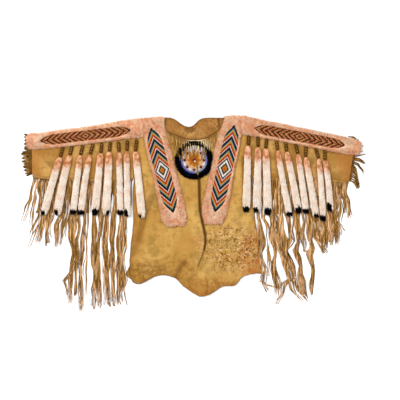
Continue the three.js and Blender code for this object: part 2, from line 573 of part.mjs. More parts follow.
// Joins strands to their strip. Each lies in the lower layer, or in the upper one where it meets a strand below.
// Curls leave the strip in the upper layer and rise over both once they are past the tails.
const CURL_REST = THONG.low + 2 * THONG.step;
const CURL_RISE = { from: -90, to: -150 };
function fringe(strip, lines, rest, curls = []) {
  const fine = (line) =>
    line.slice(1).flatMap((p, i) => Array.from({ length: 10 }, (_, n) => line[i].clone().lerp(p, (n + 1) / 10)));
  const apart = (a, b) => a.every((p) => b.every((q) => p.distanceTo(q) > THONG.wide + 0.4));
  const laid = curls.map((line) => ({ layer: 1, trace: fine(line).filter((p) => p.y > CURL_RISE.to) }));
  const risen = (y) => smooth((CURL_RISE.from - y) / (CURL_RISE.from - CURL_RISE.to));
  const strands = curls.map((line) => strand(line, (x, y) => mix(rest(x, y) + THONG.step, CURL_REST, risen(y))));
  for (const line of lines) {
    const trace = fine(line);
    const free = laid.every((other) => other.layer === 1 || apart(other.trace, trace));
    laid.push({ trace, layer: free ? 0 : 1 });
    strands.push(strand(line, (x, y) => rest(x, y) + (free ? 0 : THONG.step)));
  }
  return joined([strip, ...strands]);
}
const onFloor = () => THONG.low;
const floorStrip = (line) => backing(line, STRIP_WIDE, THONG.low, THONG.low + THONG.step + THONG.high);

function sleeveFringe(rows, locks, curls) {
  const below = STRIP_WIDE / 2 + SEAM + 1.5;
  const edge = (x) => follow(rows, "lowX", "lowY", x) - below;
  const roots = [...locks, ...curls].map((row) => row.rootX);
  const ends = [Math.min(...roots) - 5, Math.max(...roots) + 5];
  const line = Array.from({ length: 11 }, (_, i) => mix(ends[0], ends[1], i / 10));
  const strands = locks.flatMap((lock, n) =>
    Array.from({ length: lock.strands }, (_, i) => {
      const off = (i - (lock.strands - 1) / 2) * LOCK_PITCH;
      const ragged = 9 * Math.sin(n * 2.3 + i * 1.7);
      const points = [
        [lock.rootX + off, edge(lock.rootX + off)],
        [lock.nearX + off, lock.nearY],
        [lock.farX + off, lock.farY],
        [lock.tipX + off * lock.spread, lock.tipY + ragged],
      ];
      return bends(points, lock.tipY < -250 ? 5 : 4);
    }),
  );
  const strip = floorStrip(line.map((x) => ({ x, y: edge(x) })));
  const curled = curls.map((curl) => {
    const bent = [[curl.x1, curl.y1], [curl.x2, curl.y2], [curl.x3, curl.y3], [curl.tipX, curl.tipY]];
    return bends([[curl.rootX, edge(curl.rootX)], ...bent], 9);
  });
  return fringe(strip, strands, onFloor, curled);
}
function cuffFringe(rows, cuff, out) {
  const end = rows[rows.length - 1];
  const gap = (STRIP_WIDE / 2 + SEAM + 0.8) * out;
  const at = (t) => ({ x: mix(end.topX, end.lowX, t) + gap, y: mix(end.topY, end.lowY, t) });
  const strands = cuff.map((row) => {
    const root = at(row.at);
    const [ahead, down] = row.reach > 0 ? [0.55, 0.32] : [0.2, 0.75];
    const bend = [root.x + row.reach * ahead * out, root.y - row.drop * down];
    return bends([[root.x, root.y], bend, [root.x + row.reach * out, root.y - row.drop]], 3);
  });
  return fringe(floorStrip([0.005, 0.5, 0.985].map(at)), strands, onFloor);
}

// Neck flap, over the front panel, and its fringe.
const FLAP_REST = FRONT_TOP + WAVE.rise + SEAM;
const FLAP_COLS = 22;
const FLAP_ROWS = 3;
function neckFlap() {
  const [topRows, underRows] = [[], []];
  for (let r = 0; r <= FLAP_ROWS; r += 1) {
    const [topRow, underRow] = [[], []];
    for (let c = 0; c <= FLAP_COLS; c += 1) {
      const low = mix(SCALLOP[0].x, SCALLOP[SCALLOP.length - 1].x, c / FLAP_COLS);
      const high = mix(-142, 136, c / FLAP_COLS);
      const x = mix(high, low, r / FLAP_ROWS);
      const y = mix(follow(TOP, "x", "y", high) + 2, follow(SCALLOP, "x", "y", low), r / FLAP_ROWS);
      const rise = FLAP_REST + 0.8 * Math.sin((Math.PI * r) / FLAP_ROWS);
      topRow.push(new THREE.Vector3(x, y, rise + HIDE));
      underRow.push(new THREE.Vector3(x, y, rise));
    }
    topRows.push(topRow);
    underRows.push(underRow);
  }
  return wall(topRows, underRows);
}
function neckFringe() {
  const below = NECK_STRIP_WIDE / 2 + SEAM + 0.5;
  const ends = [SCALLOP[0].x + 14, SCALLOP[SCALLOP.length - 1].x - 20];
  const edge = (t) => {
    const x = mix(ends[0], ends[1], t);
    const slope = (follow(SCALLOP, "x", "y", x + 2) - follow(SCALLOP, "x", "y", x - 2)) / 4;
    return { x, y: follow(SCALLOP, "x", "y", x) - below * Math.hypot(1, slope) };
  };
  const line = Array.from({ length: 17 }, (_, i) => edge(i / 16));
  // Height of what a strand lies on, taken a little ahead and behind so that it climbs gently.
  const rest = (x, y) => {
    const tops = [-9, 0, 9].flatMap((dy) => [-4, 0, 4].map((dx) => rosetteTop(x + dx, y + dy)));
    const past = edge((x - ends[0]) / (ends[1] - ends[0])).y - y;
    return mix(FLAP_REST, Math.max(FLAP_REST, ...tops), smooth(past / 8)) + 0.3;
  };
  const strands = Array.from({ length: NECK_STRANDS }, (_, i) => {
    const t = (i + 0.5) / NECK_STRANDS;
    const root = edge(t);
    const length = follow(NECK_LENGTH, "at", "length", t) + 7 * Math.sin(i * 2.1);
    const lean = 2 * Math.sin(i * 1.3) + (0.5 - t) * 0.5 * length;
    const bend = [root.x + lean * 0.4, root.y - length * 0.5];
    return bends([[root.x, root.y], bend, [root.x + lean, root.y - length]], 6);
  });
  const strip = backing(line, NECK_STRIP_WIDE, FLAP_REST, FLAP_REST + THONG.step + THONG.high);
  return fringe(strip, strands, rest);
}

// Wrapped bars and fur tails
const OVAL_SIDES = 8;
function oval(centre, along, wide, high, rest) {
  const across = new THREE.Vector2(-along.y, along.x);
  return Array.from({ length: OVAL_SIDES }, (_, i) => {
    const turn = (2 * Math.PI * (i + 0.5)) / OVAL_SIDES;
    const p = centre.clone().addScaledVector(across, (Math.cos(turn) * wide) / 2);
    return new THREE.Vector3(p.x, p.y, rest + (high / 2) * (1 + Math.sin(turn)));
  });
}
function wrappedBar({ barX, barY, knotX, knotY }) {
  const [top, knot] = [new THREE.Vector2(barX, barY), new THREE.Vector2(knotX, knotY)];
  const along = knot.clone().sub(top).normalize();
  const rings = [[0, 0.7], [0.08, 1], [0.92, 1], [0.985, 0.7]].map(([t, size]) => {
    const p = top.clone().lerp(knot, t);
    const rest = upper(p.x, p.y) + SEAM + 1;
    return oval(p, along, WRAP.wide * size, WRAP.high * size, rest + (WRAP.high * (1 - size)) / 2);
  });
  return loft(rings);
}
function onSleeve(x, y) {
  const rows = x < 0 ? SLEEVE_LEFT : SLEEVE_RIGHT;
  const body = x > follow(SIDES, "y", "left", y) - 3 && x < follow(SIDES, "y", "right", y) + 3;
  return body || y > follow(rows, "lowX", "lowY", x) - 14;
}
function furTail({ knotX, knotY, bendX, bendY, tipX, tipY, wide }) {
  const points = [[knotX, knotY], [bendX, bendY], [tipX, tipY]];
  const path = new THREE.CatmullRomCurve3(points.map(([x, y]) => new THREE.Vector3(x, y, 0)));
  const fringeTop = THONG.low + THONG.step + THONG.high + SEAM + 0.4;
  const under = (p) => {
    const tops = [-18, 0, 18].flatMap((dx) =>
      [-16, 0, 16].map((dy) => (onSleeve(p.x + dx, p.y + dy) ? upper(p.x + dx, p.y + dy) : 0)),
    );
    return Math.max(fringeTop, ...tops) + SEAM + 0.5;
  };
  const rings = TAIL_SHAPE.map((row) => {
    const t = mix(0.01, 1, row.along);
    const p = path.getPointAt(t);
    const tangent = path.getTangentAt(t);
    const centre = new THREE.Vector2(p.x, p.y);
    const along = new THREE.Vector2(tangent.x, tangent.y).normalize();
    return oval(centre, along, wide * row.wide, TAIL_HIGH * row.high, under(p));
  });
  return loft(rings);
}

piece("back_panel", backPanel(), "hide");
piece("front_panel", frontPanel(), "hide");
piece("sleeve_left", sleeve(SLEEVE_LEFT), "hide");
piece("sleeve_right", sleeve(SLEEVE_RIGHT), "hide");
piece("neck_flap", neckFlap(), "hide");
piece("neck_fringe", neckFringe(), "fringe");
piece("rosette_rim", rosetteRim(), "dark");
piece("rosette_beads", rosetteBeads(), "beads");
const furs = [
  ["chest_fur_left", FUR_CHEST_LEFT],
  ["chest_fur_right", FUR_CHEST_RIGHT],
  ["sleeve_fur_left", FUR_SLEEVE_LEFT],
  ["sleeve_fur_right", FUR_SLEEVE_RIGHT],
];
furs.forEach(([name, rows], i) => {
  piece(name, furStrip(rows, BEADS[i]), "fur");
  piece(BEADS[i].name, beadStrip(BEADS[i]), "beads");
});
piece("sleeve_fringe_left", sleeveFringe(SLEEVE_LEFT, LOCKS_LEFT, CURLS_LEFT), "fringe");
piece("sleeve_fringe_right", sleeveFringe(SLEEVE_RIGHT, LOCKS_RIGHT, CURLS_RIGHT), "fringe");
piece("cuff_fringe_left", cuffFringe(SLEEVE_LEFT, CUFF_LEFT, -1), "fringe");
piece("cuff_fringe_right", cuffFringe(SLEEVE_RIGHT, CUFF_RIGHT, 1), "fringe");
for (const [side, rows] of [["left", TAILS_LEFT], ["right", TAILS_RIGHT]]) {
  rows.forEach((row, i) => {
    piece(`wrap_${side}_${i + 1}`, wrappedBar(row), "wrap");
    piece(`tail_${side}_${i + 1}`, furTail(row), "ermine");
  });
}

export default shirt;
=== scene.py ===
# %% [markdown]
# # A beaded hide shirt, laid flat
# The real shirt is hide: a back and a front, two sleeves, a neck flap, and long cut fringe. Dyed fur strips
# carry beadwork down the chest and along the sleeves, and white fur tails hang from wrapped bars. Its
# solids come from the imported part. This script dresses each of them, so every piece starts from a solid
# that is already in place.

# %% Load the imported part
import math
import bmesh
import bpy
import numpy as np
from mathutils import Matrix, Vector, kdtree, noise
from mathutils.bvhtree import BVHTree


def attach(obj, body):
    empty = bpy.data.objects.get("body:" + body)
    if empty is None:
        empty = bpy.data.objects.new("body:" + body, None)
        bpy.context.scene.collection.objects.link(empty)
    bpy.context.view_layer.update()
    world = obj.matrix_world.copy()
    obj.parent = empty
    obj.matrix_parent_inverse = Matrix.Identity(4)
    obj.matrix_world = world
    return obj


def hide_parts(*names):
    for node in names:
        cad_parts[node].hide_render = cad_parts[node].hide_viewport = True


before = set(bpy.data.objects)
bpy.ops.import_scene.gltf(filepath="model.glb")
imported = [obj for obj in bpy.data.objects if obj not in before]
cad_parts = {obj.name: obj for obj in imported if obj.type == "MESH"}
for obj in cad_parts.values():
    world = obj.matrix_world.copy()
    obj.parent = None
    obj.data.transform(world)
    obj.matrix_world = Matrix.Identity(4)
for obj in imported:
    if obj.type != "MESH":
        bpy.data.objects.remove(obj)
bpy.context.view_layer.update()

# %% [markdown]
# ## Camera
# The photograph looks straight down on the shirt, with the neck at its top edge. A camera with no rotation
# already looks down with +Y at the top of its picture, so it only needs a place. A long lens keeps the flat
# shirt flat.

# %% Camera
PICTURE_WIDE = 1.88  # metres of floor across the picture
MIDDLE_X = 0.0235  # the picture's middle, across the shirt
LENS = 85
SENSOR = 36

camera = bpy.data.objects.new("camera", bpy.data.cameras.new("camera"))
camera.data.lens = LENS
camera.data.sensor_width = SENSOR
camera.location = (MIDDLE_X, 0, PICTURE_WIDE * LENS / SENSOR)
bpy.context.scene.collection.objects.link(camera)
bpy.context.scene.camera = camera
print("camera height", round(camera.location.z, 3))

# %% [markdown]
# ## Shader arithmetic
# A material is a net of nodes, and sums are easier to read than nets. So a small class stands for one
# socket, and adding, taking away or multiplying such sockets adds the Math nodes. Any other node comes from
# one method.

# %% Shader arithmetic
class Socket:
    """One output of a material's node. Arithmetic on it adds Math nodes to the same material."""

    def __init__(self, finish, output):
        self.finish = finish
        self.output = output

    def maths(self, operation, first, second):
        return self.finish.node("ShaderNodeMath", {"operation": operation}, {0: first, 1: second})

    def __add__(self, other):
        return self.maths("ADD", self, other)

    def __radd__(self, other):
        return self.maths("ADD", other, self)

    def __sub__(self, other):
        return self.maths("SUBTRACT", self, other)

    def __rsub__(self, other):
        return self.maths("SUBTRACT", other, self)

    def __mul__(self, other):
        return self.maths("MULTIPLY", self, other)

    def __rmul__(self, other):
        return self.maths("MULTIPLY", other, self)


class Finish:
    """A material with one Principled shader, whose fixed values are set on the shader's own sockets."""

    def __init__(self, name, fixed):
        self.material = bpy.data.materials.new(name)
        self.material.use_nodes = True
        self.tree = self.material.node_tree
        self.shader = self.tree.nodes["Principled BSDF"]
        for socket, value in fixed.items():
            self.shader.inputs[socket].default_value = value

    def node(self, kind, settings, sockets, out=0):
        node = self.tree.nodes.new(kind)
        for name, value in settings.items():
            setattr(node, name, value)
        for name, value in sockets.items():
            self.feed(node.inputs[name], value)
        return Socket(self, node.outputs[out])

    def feed(self, target, value):
        if isinstance(value, Socket):
            self.tree.links.new(value.output, target)
        else:
            target.default_value = value

    def mix(self, share, first, second, blend="MIX"):
        settings = {"data_type": "RGBA", "blend_type": blend}
        return self.node("ShaderNodeMix", settings, {0: share, 6: first, 7: second}, out=2)

    def place(self, stretch=(1, 1, 1), turn=0.0):
        """Object coordinates, stretched and turned about the upright."""
        here = self.node("ShaderNodeTexCoord", {}, {}, out=3)
        sockets = {"Vector": here, "Scale": stretch, "Rotation": (0, 0, turn)}
        return self.node("ShaderNodeMapping", {}, sockets)

    def cloud(self, scale, detail=3.0, stretch=(1, 1, 1), turn=0.0, curl=0.0):
        """Soft noise from 0 to 1. A curl bends it into hooks."""
        sockets = {"Vector": self.place(stretch, turn), "Scale": scale, "Detail": detail, "Distortion": curl}
        return self.node("ShaderNodeTexNoise", {}, sockets)

    def step(self, value, low, high):
        """0 below low, 1 above high, and a soft step between."""
        sockets = {"Value": value, 1: low, 2: high}
        return self.node("ShaderNodeMapRange", {"interpolation_type": "SMOOTHSTEP"}, sockets)

    def track(self, value, at, wide):
        """A line that follows where a value passes a level, as worm tracks do."""
        return self.step(value, at - wide, at) * (1 - self.step(value, at, at + wide))

    def painted(self, name, out=2):
        """A value that was painted on the mesh, or its colour with out=0."""
        return self.node("ShaderNodeAttribute", {"attribute_name": name}, {}, out=out)

    def surface(self, colour, relief=None, depth=0.001, strength=0.6):
        """Gives the shader its colour, and a relief of that depth in metres."""
        self.feed(self.shader.inputs["Base Color"], colour)
        if relief is not None:
            sockets = {"Height": relief, "Distance": depth, "Strength": strength}
            self.feed(self.shader.inputs["Normal"], self.node("ShaderNodeBump", {}, sockets))
        return self.material


def ink(code):
    """A colour written as on a paint card, #rrggbb, as the linear colour that shaders use."""
    parts = [int(code[i : i + 2], 16) / 255 for i in (1, 3, 5)]
    return [p / 12.92 if p < 0.04045 else ((p + 0.055) / 1.055) ** 2.4 for p in parts] + [1.0]


print("shader arithmetic ready")

# %% [markdown]
# ## Floor and light
# The shirt lies on a plain pale floor. Two broad lamps give soft light: a strong one from the upper left,
# which shades the right side of each fold as in the photograph, and a weak one from below to open the
# shadows.

# %% Floor and light
FLOOR_SIZE = 4.0
FLOOR_DROP = 0.0005  # the floor lies this far below the shirt
LAMPS = [  # name, place, size and watts
    ("lamp_main", (-2.9, 3.0, 4.6), 2.4, 228),
    ("lamp_fill", (3.0, -2.6, 4.8), 3.0, 60),
]
SKY = 0.76

net = bmesh.new()
bmesh.ops.create_grid(net, x_segments=8, y_segments=8, size=FLOOR_SIZE)
bmesh.ops.translate(net, verts=net.verts, vec=(0, 0, -FLOOR_DROP))
floor_mesh = bpy.data.meshes.new("floor")
net.to_mesh(floor_mesh)
net.free()
floor = bpy.data.objects.new("floor", floor_mesh)
bpy.context.scene.collection.objects.link(floor)
paper = Finish("floor_paper", {"Roughness": 0.9, "Specular IOR Level": 0.1})
floor_mesh.materials.append(paper.surface(paper.mix(paper.cloud(3.0), ink("#fbfbfb"), ink("#ffffff"))))

for name, place, size, watts in LAMPS:
    lamp = bpy.data.objects.new(name, bpy.data.lights.new(name, "AREA"))
    lamp.data.shape = "DISK"
    lamp.data.size = size
    lamp.data.energy = watts
    lamp.location = place
    lamp.rotation_euler = (-Vector(place)).to_track_quat("-Z", "Y").to_euler()
    bpy.context.scene.collection.objects.link(lamp)

sky = bpy.data.worlds.new("sky")
sky.use_nodes = True
sky.node_tree.nodes["Background"].inputs["Color"].default_value = (1, 1, 1, 1)
sky.node_tree.nodes["Background"].inputs["Strength"].default_value = SKY
bpy.context.scene.world = sky
bpy.context.scene.view_settings.view_transform = "Standard"
print("floor and", len(LAMPS), "lamps")

# %% [markdown]
# ## Tools for skins
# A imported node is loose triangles, so a copy of it is merged into one skin first. A subdivision surface
# then rounds the copy, and the edges that turn sharply are creased, so a cut edge of hide stays a cut edge.

# %% Tools for skins
SHARP = math.radians(66)
GRAIN = 0.00001  # corners nearer than this are one
FLAT = math.radians(30)  # triangles that meet flatter than this become a quad
SMOOTH_BELOW = math.radians(50)  # edges that turn more than this are shaded sharp
LOOK_FROM = 0.1  # rays that look down on the shirt start at this height
noise.seed_set(9)  # without a seed of its own, noise_vector would differ each time


def copied(node):
    skin = bmesh.new()
    skin.from_mesh(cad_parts[node].data)
    bmesh.ops.remove_doubles(skin, verts=skin.verts, dist=GRAIN)
    return skin


def rounded(skin, levels, sharp=SHARP):
    """The skin after a subdivision surface, in quads where two triangles were one."""
    bmesh.ops.join_triangles(skin, faces=skin.faces, angle_face_threshold=FLAT, angle_shape_threshold=math.pi)
    crease = skin.edges.layers.float.new("crease_edge")
    for edge in skin.edges:
        if len(edge.link_faces) == 2 and edge.calc_face_angle() > sharp:
            edge[crease] = 1.0
    mesh = bpy.data.meshes.new("rounding")
    skin.to_mesh(mesh)
    holder = bpy.data.objects.new("rounding", mesh)
    bpy.context.scene.collection.objects.link(holder)
    modifier = holder.modifiers.new("round", "SUBSURF")
    modifier.levels = modifier.render_levels = levels
    made = holder.evaluated_get(bpy.context.evaluated_depsgraph_get())
    skin.clear()
    skin.from_mesh(made.to_mesh())
    made.to_mesh_clear()
    bpy.data.objects.remove(holder)
    bpy.data.meshes.remove(mesh)
    return skin


def finished(name, skin, material, paint=None):
    """Makes a piece of the shirt from a skin, with values painted on its points."""
    mesh = bpy.data.meshes.new(name)
    skin.to_mesh(mesh)
    skin.free()
    mesh.shade_smooth()
    mesh.set_sharp_from_angle(angle=SMOOTH_BELOW)
    for layer, values in (paint or {}).items():
        mesh.attributes.new(layer, "FLOAT", "POINT").data.foreach_set("value", values)
    return placed(name, mesh, material)


def placed(name, mesh, material):
    mesh.materials.append(material)
    piece = bpy.data.objects.new(name, mesh)
    bpy.context.scene.collection.objects.link(piece)
    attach(piece, "root")
    return piece


def faces_of(nodes):
    """A tree of these nodes' faces, to look down on them."""
    points, faces = [], []
    for node in nodes:
        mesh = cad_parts[node].data
        mesh.calc_loop_triangles()
        first = len(points)
        points += [v.co.copy() for v in mesh.vertices]
        faces += [[first + i for i in t.vertices] for t in mesh.loop_triangles]
    return BVHTree.FromPolygons(points, faces)


def height(tree, x, y):
    """How high the tree's faces stand at a place, or None beside them."""
    hit = tree.ray_cast(Vector((x, y, LOOK_FROM)), Vector((0, 0, -1)))[0]
    return hit.z if hit else None


print("packed nodes", len(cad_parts))

# %% [markdown]
# ## The hide
# Brain-tanned, smoked hide is golden tan with a soft nap. It is darker and redder along its cut edges, and
# it has olive patches. Its folds and creases get painted shade, and so does the hide beside the fur strips,
# tails and wrapped bars. So the material mixes clouds of three sizes, and reads from values painted on the
# mesh how near an edge is, how much painted shade each point gets, and where a few stain lines run. The
# scraped marks at the hem are clouds with a curl, inside a soft patch.

# %% The hide's material
def patch(finish, x, y, wide, high):
    """A soft round patch on the plan, 1 at its middle."""
    sockets = {"Vector": finish.node("ShaderNodeTexCoord", {}, {}, out=3)}
    sockets["Location"] = (-x / wide, -y / high, 0)
    sockets["Scale"] = (1 / wide, 1 / high, 0)
    moved = finish.node("ShaderNodeMapping", {}, sockets)
    far = finish.node("ShaderNodeVectorMath", {"operation": "LENGTH"}, {0: moved}, out=1)
    return 1 - finish.step(far, 0.45, 1.0)


def hide_finish(name, light, mid, olive, edge, rim=0.8):
    """A hide's finish, its colour and its relief. The rim is how strongly its cut edge is darkened."""
    finish = Finish(name, {"Roughness": 0.95, "Specular IOR Level": 0.08, "Sheen Weight": 0.05})
    tone = finish.mix(finish.step(finish.cloud(6.0, 4.0), 0.4, 0.6), ink(mid), ink(light))
    tone = finish.mix(finish.step(finish.cloud(13.0, 5.0), 0.48, 0.66) * 0.6, tone, ink(olive))
    tone = finish.mix(finish.step(finish.cloud(17.0, 5.0, turn=2.0), 0.54, 0.7) * 0.5, tone, ink(edge))
    tone = finish.mix(finish.step(finish.cloud(55.0, 6.0, curl=0.8), 0.5, 0.7) * 0.55, tone, ink(olive))
    tone = finish.mix(finish.step(finish.cloud(40.0, 5.0, turn=1.0), 0.55, 0.72) * 0.5, tone, ink(light))
    # painted shade on the hide beside the fur strips, tails and wrapped bars
    tone = finish.mix(finish.painted("shade_beside_covers") * 0.6, tone, ink("#8e5d22"))
    patchy = 0.25 + finish.step(finish.cloud(24.0, 4.0, turn=0.4), 0.42, 0.62) * 0.75
    tone = finish.mix(finish.painted("edge") * patchy * rim, tone, ink("#7d4d18"))
    tone = finish.mix(finish.step(finish.painted("edge"), 0.8, 0.97) * rim, tone, ink("#3f270c"))
    nap = finish.cloud(420.0, 4.0)
    grain = finish.cloud(70.0, 6.0)
    wrinkles = finish.cloud(16.0, 3.0, curl=0.5)
    return finish, tone, nap * 0.3 + grain + wrinkles * 4


def hide_surface(finish, tone, relief):
    """Closes a hide's finish: painted shade in folds and creases, with a few stain lines, lies over every
    other colour.
    """
    # painted shade in folds and creases, with a few stain lines
    tone = finish.mix(finish.painted("fold_shade_and_stains") * 0.95, tone, ink("#542f06"))
    return finish.surface(tone, relief, 0.0015)


body_hide, tone, relief = hide_finish("smoked_hide", "#ca9f58", "#b68842", "#917030", "#9a6325")
PATCHES = [  # colour, strength, middle and half size of each soiled patch, with its dirt in clouds
    ("#a8672a", 0.45, -0.275, -0.1, 0.05, 0.17),
    ("#7c5118", 0.75, -0.23, -0.34, 0.15, 0.07),
    ("#8a5a1e", 0.6, -0.05, -0.34, 0.09, 0.09),
    ("#965c20", 0.8, 0.09, -0.43, 0.2, 0.09),
    ("#a8602c", 0.8, 0.26, -0.26, 0.08, 0.15),
    ("#7e541c", 0.8, -0.085, 0.265, 0.045, 0.045),
    ("#7e541c", 0.7, 0.085, 0.275, 0.04, 0.04),
    ("#b06c40", 0.5, 0.0, -0.185, 0.045, 0.025),
]
dirt = 0.35 + body_hide.step(body_hide.cloud(62.0, 7.0, turn=1.4, curl=0.5), 0.38, 0.62) * 0.65
for colour, share, *spot in PATCHES:
    tone = body_hide.mix(patch(body_hide, *spot) * dirt * share, tone, ink(colour))
scraped = patch(body_hide, 0.17, -0.225, 0.2, 0.16)
gouges = body_hide.track(body_hide.cloud(46.0, 2.0, turn=0.7, curl=0.8), 0.47, 0.06)
tone = body_hide.mix(scraped * gouges, tone, ink("#6c4010"))
flecks = body_hide.track(body_hide.cloud(50.0, 2.0, curl=0.7), 0.5, 0.045)
tone = body_hide.mix(scraped * flecks * 0.75, tone, ink("#e8c088"))
HIDE = hide_surface(body_hide, tone, relief + scraped * flecks)
sleeve_hide, tone, relief = hide_finish("sleeve_hide", "#c39755", "#a57636", "#80602a", "#8a5720", 0.2)
for x in (-0.8, 0.745):
    tone = sleeve_hide.mix(patch(sleeve_hide, x, 0.18, 0.11, 0.14) * 0.6, tone, ink("#a5652a"))
SLEEVE_HIDE = hide_surface(sleeve_hide, tone, relief)
flap_hide, tone, relief = hide_finish("flap_hide", "#c09054", "#a06e38", "#805c28", "#6f4519")
freckles = flap_hide.step(flap_hide.cloud(120.0, 4.0, turn=0.9), 0.5, 0.62)
tone = flap_hide.mix(freckles * 0.65, tone, ink("#74481a"))
notch = patch(flap_hide, -0.022, 0.33, 0.04, 0.02)
FLAP_HIDE = hide_surface(flap_hide, flap_hide.mix(notch * 0.6, tone, ink("#5f3f17")), relief)
print("hide materials", HIDE.name, SLEEVE_HIDE.name)

# %% [markdown]
# ## The body and sleeves
# Each panel is a real sheet, two millimetres thick, so its copy keeps both faces. After rounding it gets
# the small unevenness of worked hide. The points are only raised, never lowered, so a panel can't sink into
# the one below.

# %% The body and sleeves
RAISE = 0.0009  # height of the unevenness of worked hide
RAGGED = 0.0022  # how far a cut edge strays
RAGGED_TURNS = 60  # waves of a ragged edge to a metre
RAGGED_BELOW = -0.11  # the panels' edges are ragged below this line
NO_EDGE = -1  # a line below the whole shirt
EDGE_REACH = 0.022  # how far the dark of a cut edge reaches
# Painted shade along folds and creases, and a few stain lines: how far it reaches, how dark it is, and its
# line on the plan.
FOLD_SHADE_AND_STAIN_LINES = [
    (0.011, 1.0, [(0.0175, 0.14), (0.0195, 0.1), (0.0215, 0.0), (0.0235, -0.04), (0.0275, -0.07)]),
    (0.011, 1.0, [(0.0275, -0.07), (0.039, -0.122), (0.048, -0.165)]),
    (0.009, 1.0, [(0.048, -0.165), (0.049, -0.2), (0.043, -0.235)]),
    (0.006, 0.7, [(0.043, -0.235), (0.034, -0.262), (0.022, -0.29), (0.014, -0.31)]),
    (0.008, 0.75, [(0.1105, 0.395), (0.1115, 0.365), (0.1125, 0.345)]),
    (0.024, 0.4, [(-0.193, 0.047), (-0.22, -0.03), (-0.247, -0.11), (-0.262, -0.17), (-0.291, -0.249)]),
    (0.008, 0.5, [(-0.2, 0.0), (-0.228, -0.07), (-0.243, -0.13), (-0.272, -0.19)]),
    (0.016, 0.5, [(-0.09, -0.356), (-0.076, -0.33), (-0.068, -0.312), (-0.047, -0.29)]),
    (0.01, 0.5, [(0.222, 0.2), (0.227, 0.14), (0.229, 0.07), (0.231, -0.01)]),
    (0.005, 0.3, [(-0.262, -0.296), (-0.2, -0.315), (-0.15, -0.308), (-0.11, -0.288)]),
    (0.005, 0.25, [(-0.27, -0.322), (-0.215, -0.335), (-0.155, -0.33)]),
    (0.005, 0.25, [(-0.25, -0.272), (-0.18, -0.288), (-0.12, -0.265)]),
    (0.007, 0.3, [(0.054, -0.44), (0.06, -0.4), (0.052, -0.36)]),
]
furs = faces_of(["chest_fur_left", "chest_fur_right", "sleeve_fur_left", "sleeve_fur_right", "rosette_rim"])
# the hide gets painted shade beside these nodes
SHADE_CASTERS = ("tail_", "wrap_", "chest_fur", "sleeve_fur")  # nodes that darken the hide beside them
covers = faces_of([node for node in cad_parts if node.startswith(SHADE_CASTERS)])
SHADE_BESIDE_REACH = 0.013


def rim_of(skin):
    """The points on a sheet's cut edge."""
    return {v for e in skin.edges if len(e.link_faces) == 2 and e.calc_face_angle() > SHARP for v in e.verts}


def nearness(spots, line, reach):
    """1 for spots on a line on the plan, falling to 0 at its reach."""
    far = np.full(len(spots), reach)
    for start, end in zip(np.array(line), np.array(line[1:])):
        run = end - start
        share = np.clip((spots - start) @ run / (run @ run), 0, 1)
        far = np.minimum(far, np.linalg.norm(spots - start - share[:, None] * run, axis=1))
    return np.clip(1.5 * (1 - far / reach), 0, 1)


def painted_hide(skin):
    """How near each point is to a cut edge, how much painted shade it gets beside the fur strips, tails and
    wrapped bars, and how dark the painted shade of folds and the stain lines make it.
    """
    rim = rim_of(skin)
    tree = kdtree.KDTree(len(rim))
    for i, v in enumerate(rim):
        tree.insert(v.co, i)
    tree.balance()
    near = [max(0.0, 1 - tree.find(v.co)[2] / EDGE_REACH) for v in skin.verts]
    # painted shade on steep faces, such as the drop of the middle crease
    steep = np.array([0.0 if v in rim else min(1.0, 2.2 * max(0.0, 1 - abs(v.normal.z))) for v in skin.verts])
    spots = np.array([v.co[:2] for v in skin.verts])
    # painted shade along folds and creases, and a few stain lines
    shade_and_stain_lines = [nearness(spots, line, reach) * depth for reach, depth, line in FOLD_SHADE_AND_STAIN_LINES]
    # painted shade beside the fur strips, tails and wrapped bars
    shade_beside_covers = [max(0.0, 1 - covers.find_nearest(v.co)[3] / SHADE_BESIDE_REACH) for v in skin.verts]
    return {"edge": near, "shade_beside_covers": shade_beside_covers, "fold_shade_and_stains": np.maximum(steep, np.max(shade_and_stain_lines, axis=0))}


def fray(v, level):
    """Moves a point of a cut edge a little aside, by one level of the noise."""
    push = noise.noise_vector(Vector((v.co.x * RAGGED_TURNS, v.co.y * RAGGED_TURNS, level)))
    v.co.x += push.x * RAGGED
    v.co.y += push.y * RAGGED


def worked(skin, ragged_below):
    """Raises soft unevenness on a sheet, and roughens its cut edge below a line across the shirt."""
    rim = rim_of(skin)
    for v in skin.verts:
        x, y = v.co.x, v.co.y
        if height(furs, x, y) is None:
            broad = noise.noise(Vector((x * 17, y * 17, 0.3)))
            fine = noise.noise(Vector((x * 43, y * 43, 1.7)))
            v.co.z += RAISE * max(0.0, 0.55 + (broad + 0.5 * fine))
        if v in rim and y < ragged_below:
            fray(v, 0.9)
    skin.normal_update()
    return skin


front = worked(rounded(copied("front_panel"), 3), RAGGED_BELOW)
front_paint = painted_hide(front)
front_piece = finished("front_hide", front, HIDE, front_paint)
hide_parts("front_panel")

sleeves = []
for side in ("left", "right"):
    skin = worked(rounded(copied(f"sleeve_{side}"), 2), NO_EDGE)
    paint = painted_hide(skin)
    sleeves.append(finished(f"sleeve_{side}_hide", skin, SLEEVE_HIDE, paint))
    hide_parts(f"sleeve_{side}")

flap = rounded(copied("neck_flap"), 2)
flap_paint = painted_hide(flap)
flap_piece = finished("neck_flap_hide", flap, FLAP_HIDE, flap_paint)
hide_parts("neck_flap")
print("front panel points", len(front_piece.data.vertices))

# %% [markdown]
# ## The back panel
# The back lies under the front and shows only at the hem and one corner. Its packed faces are long slivers,
# which a subdivision surface would pinch, so its copy is sliced by a grid of planes instead, and its cut
# edge is roughened.

# %% The back panel
SLICE = 0.02  # distance between the planes


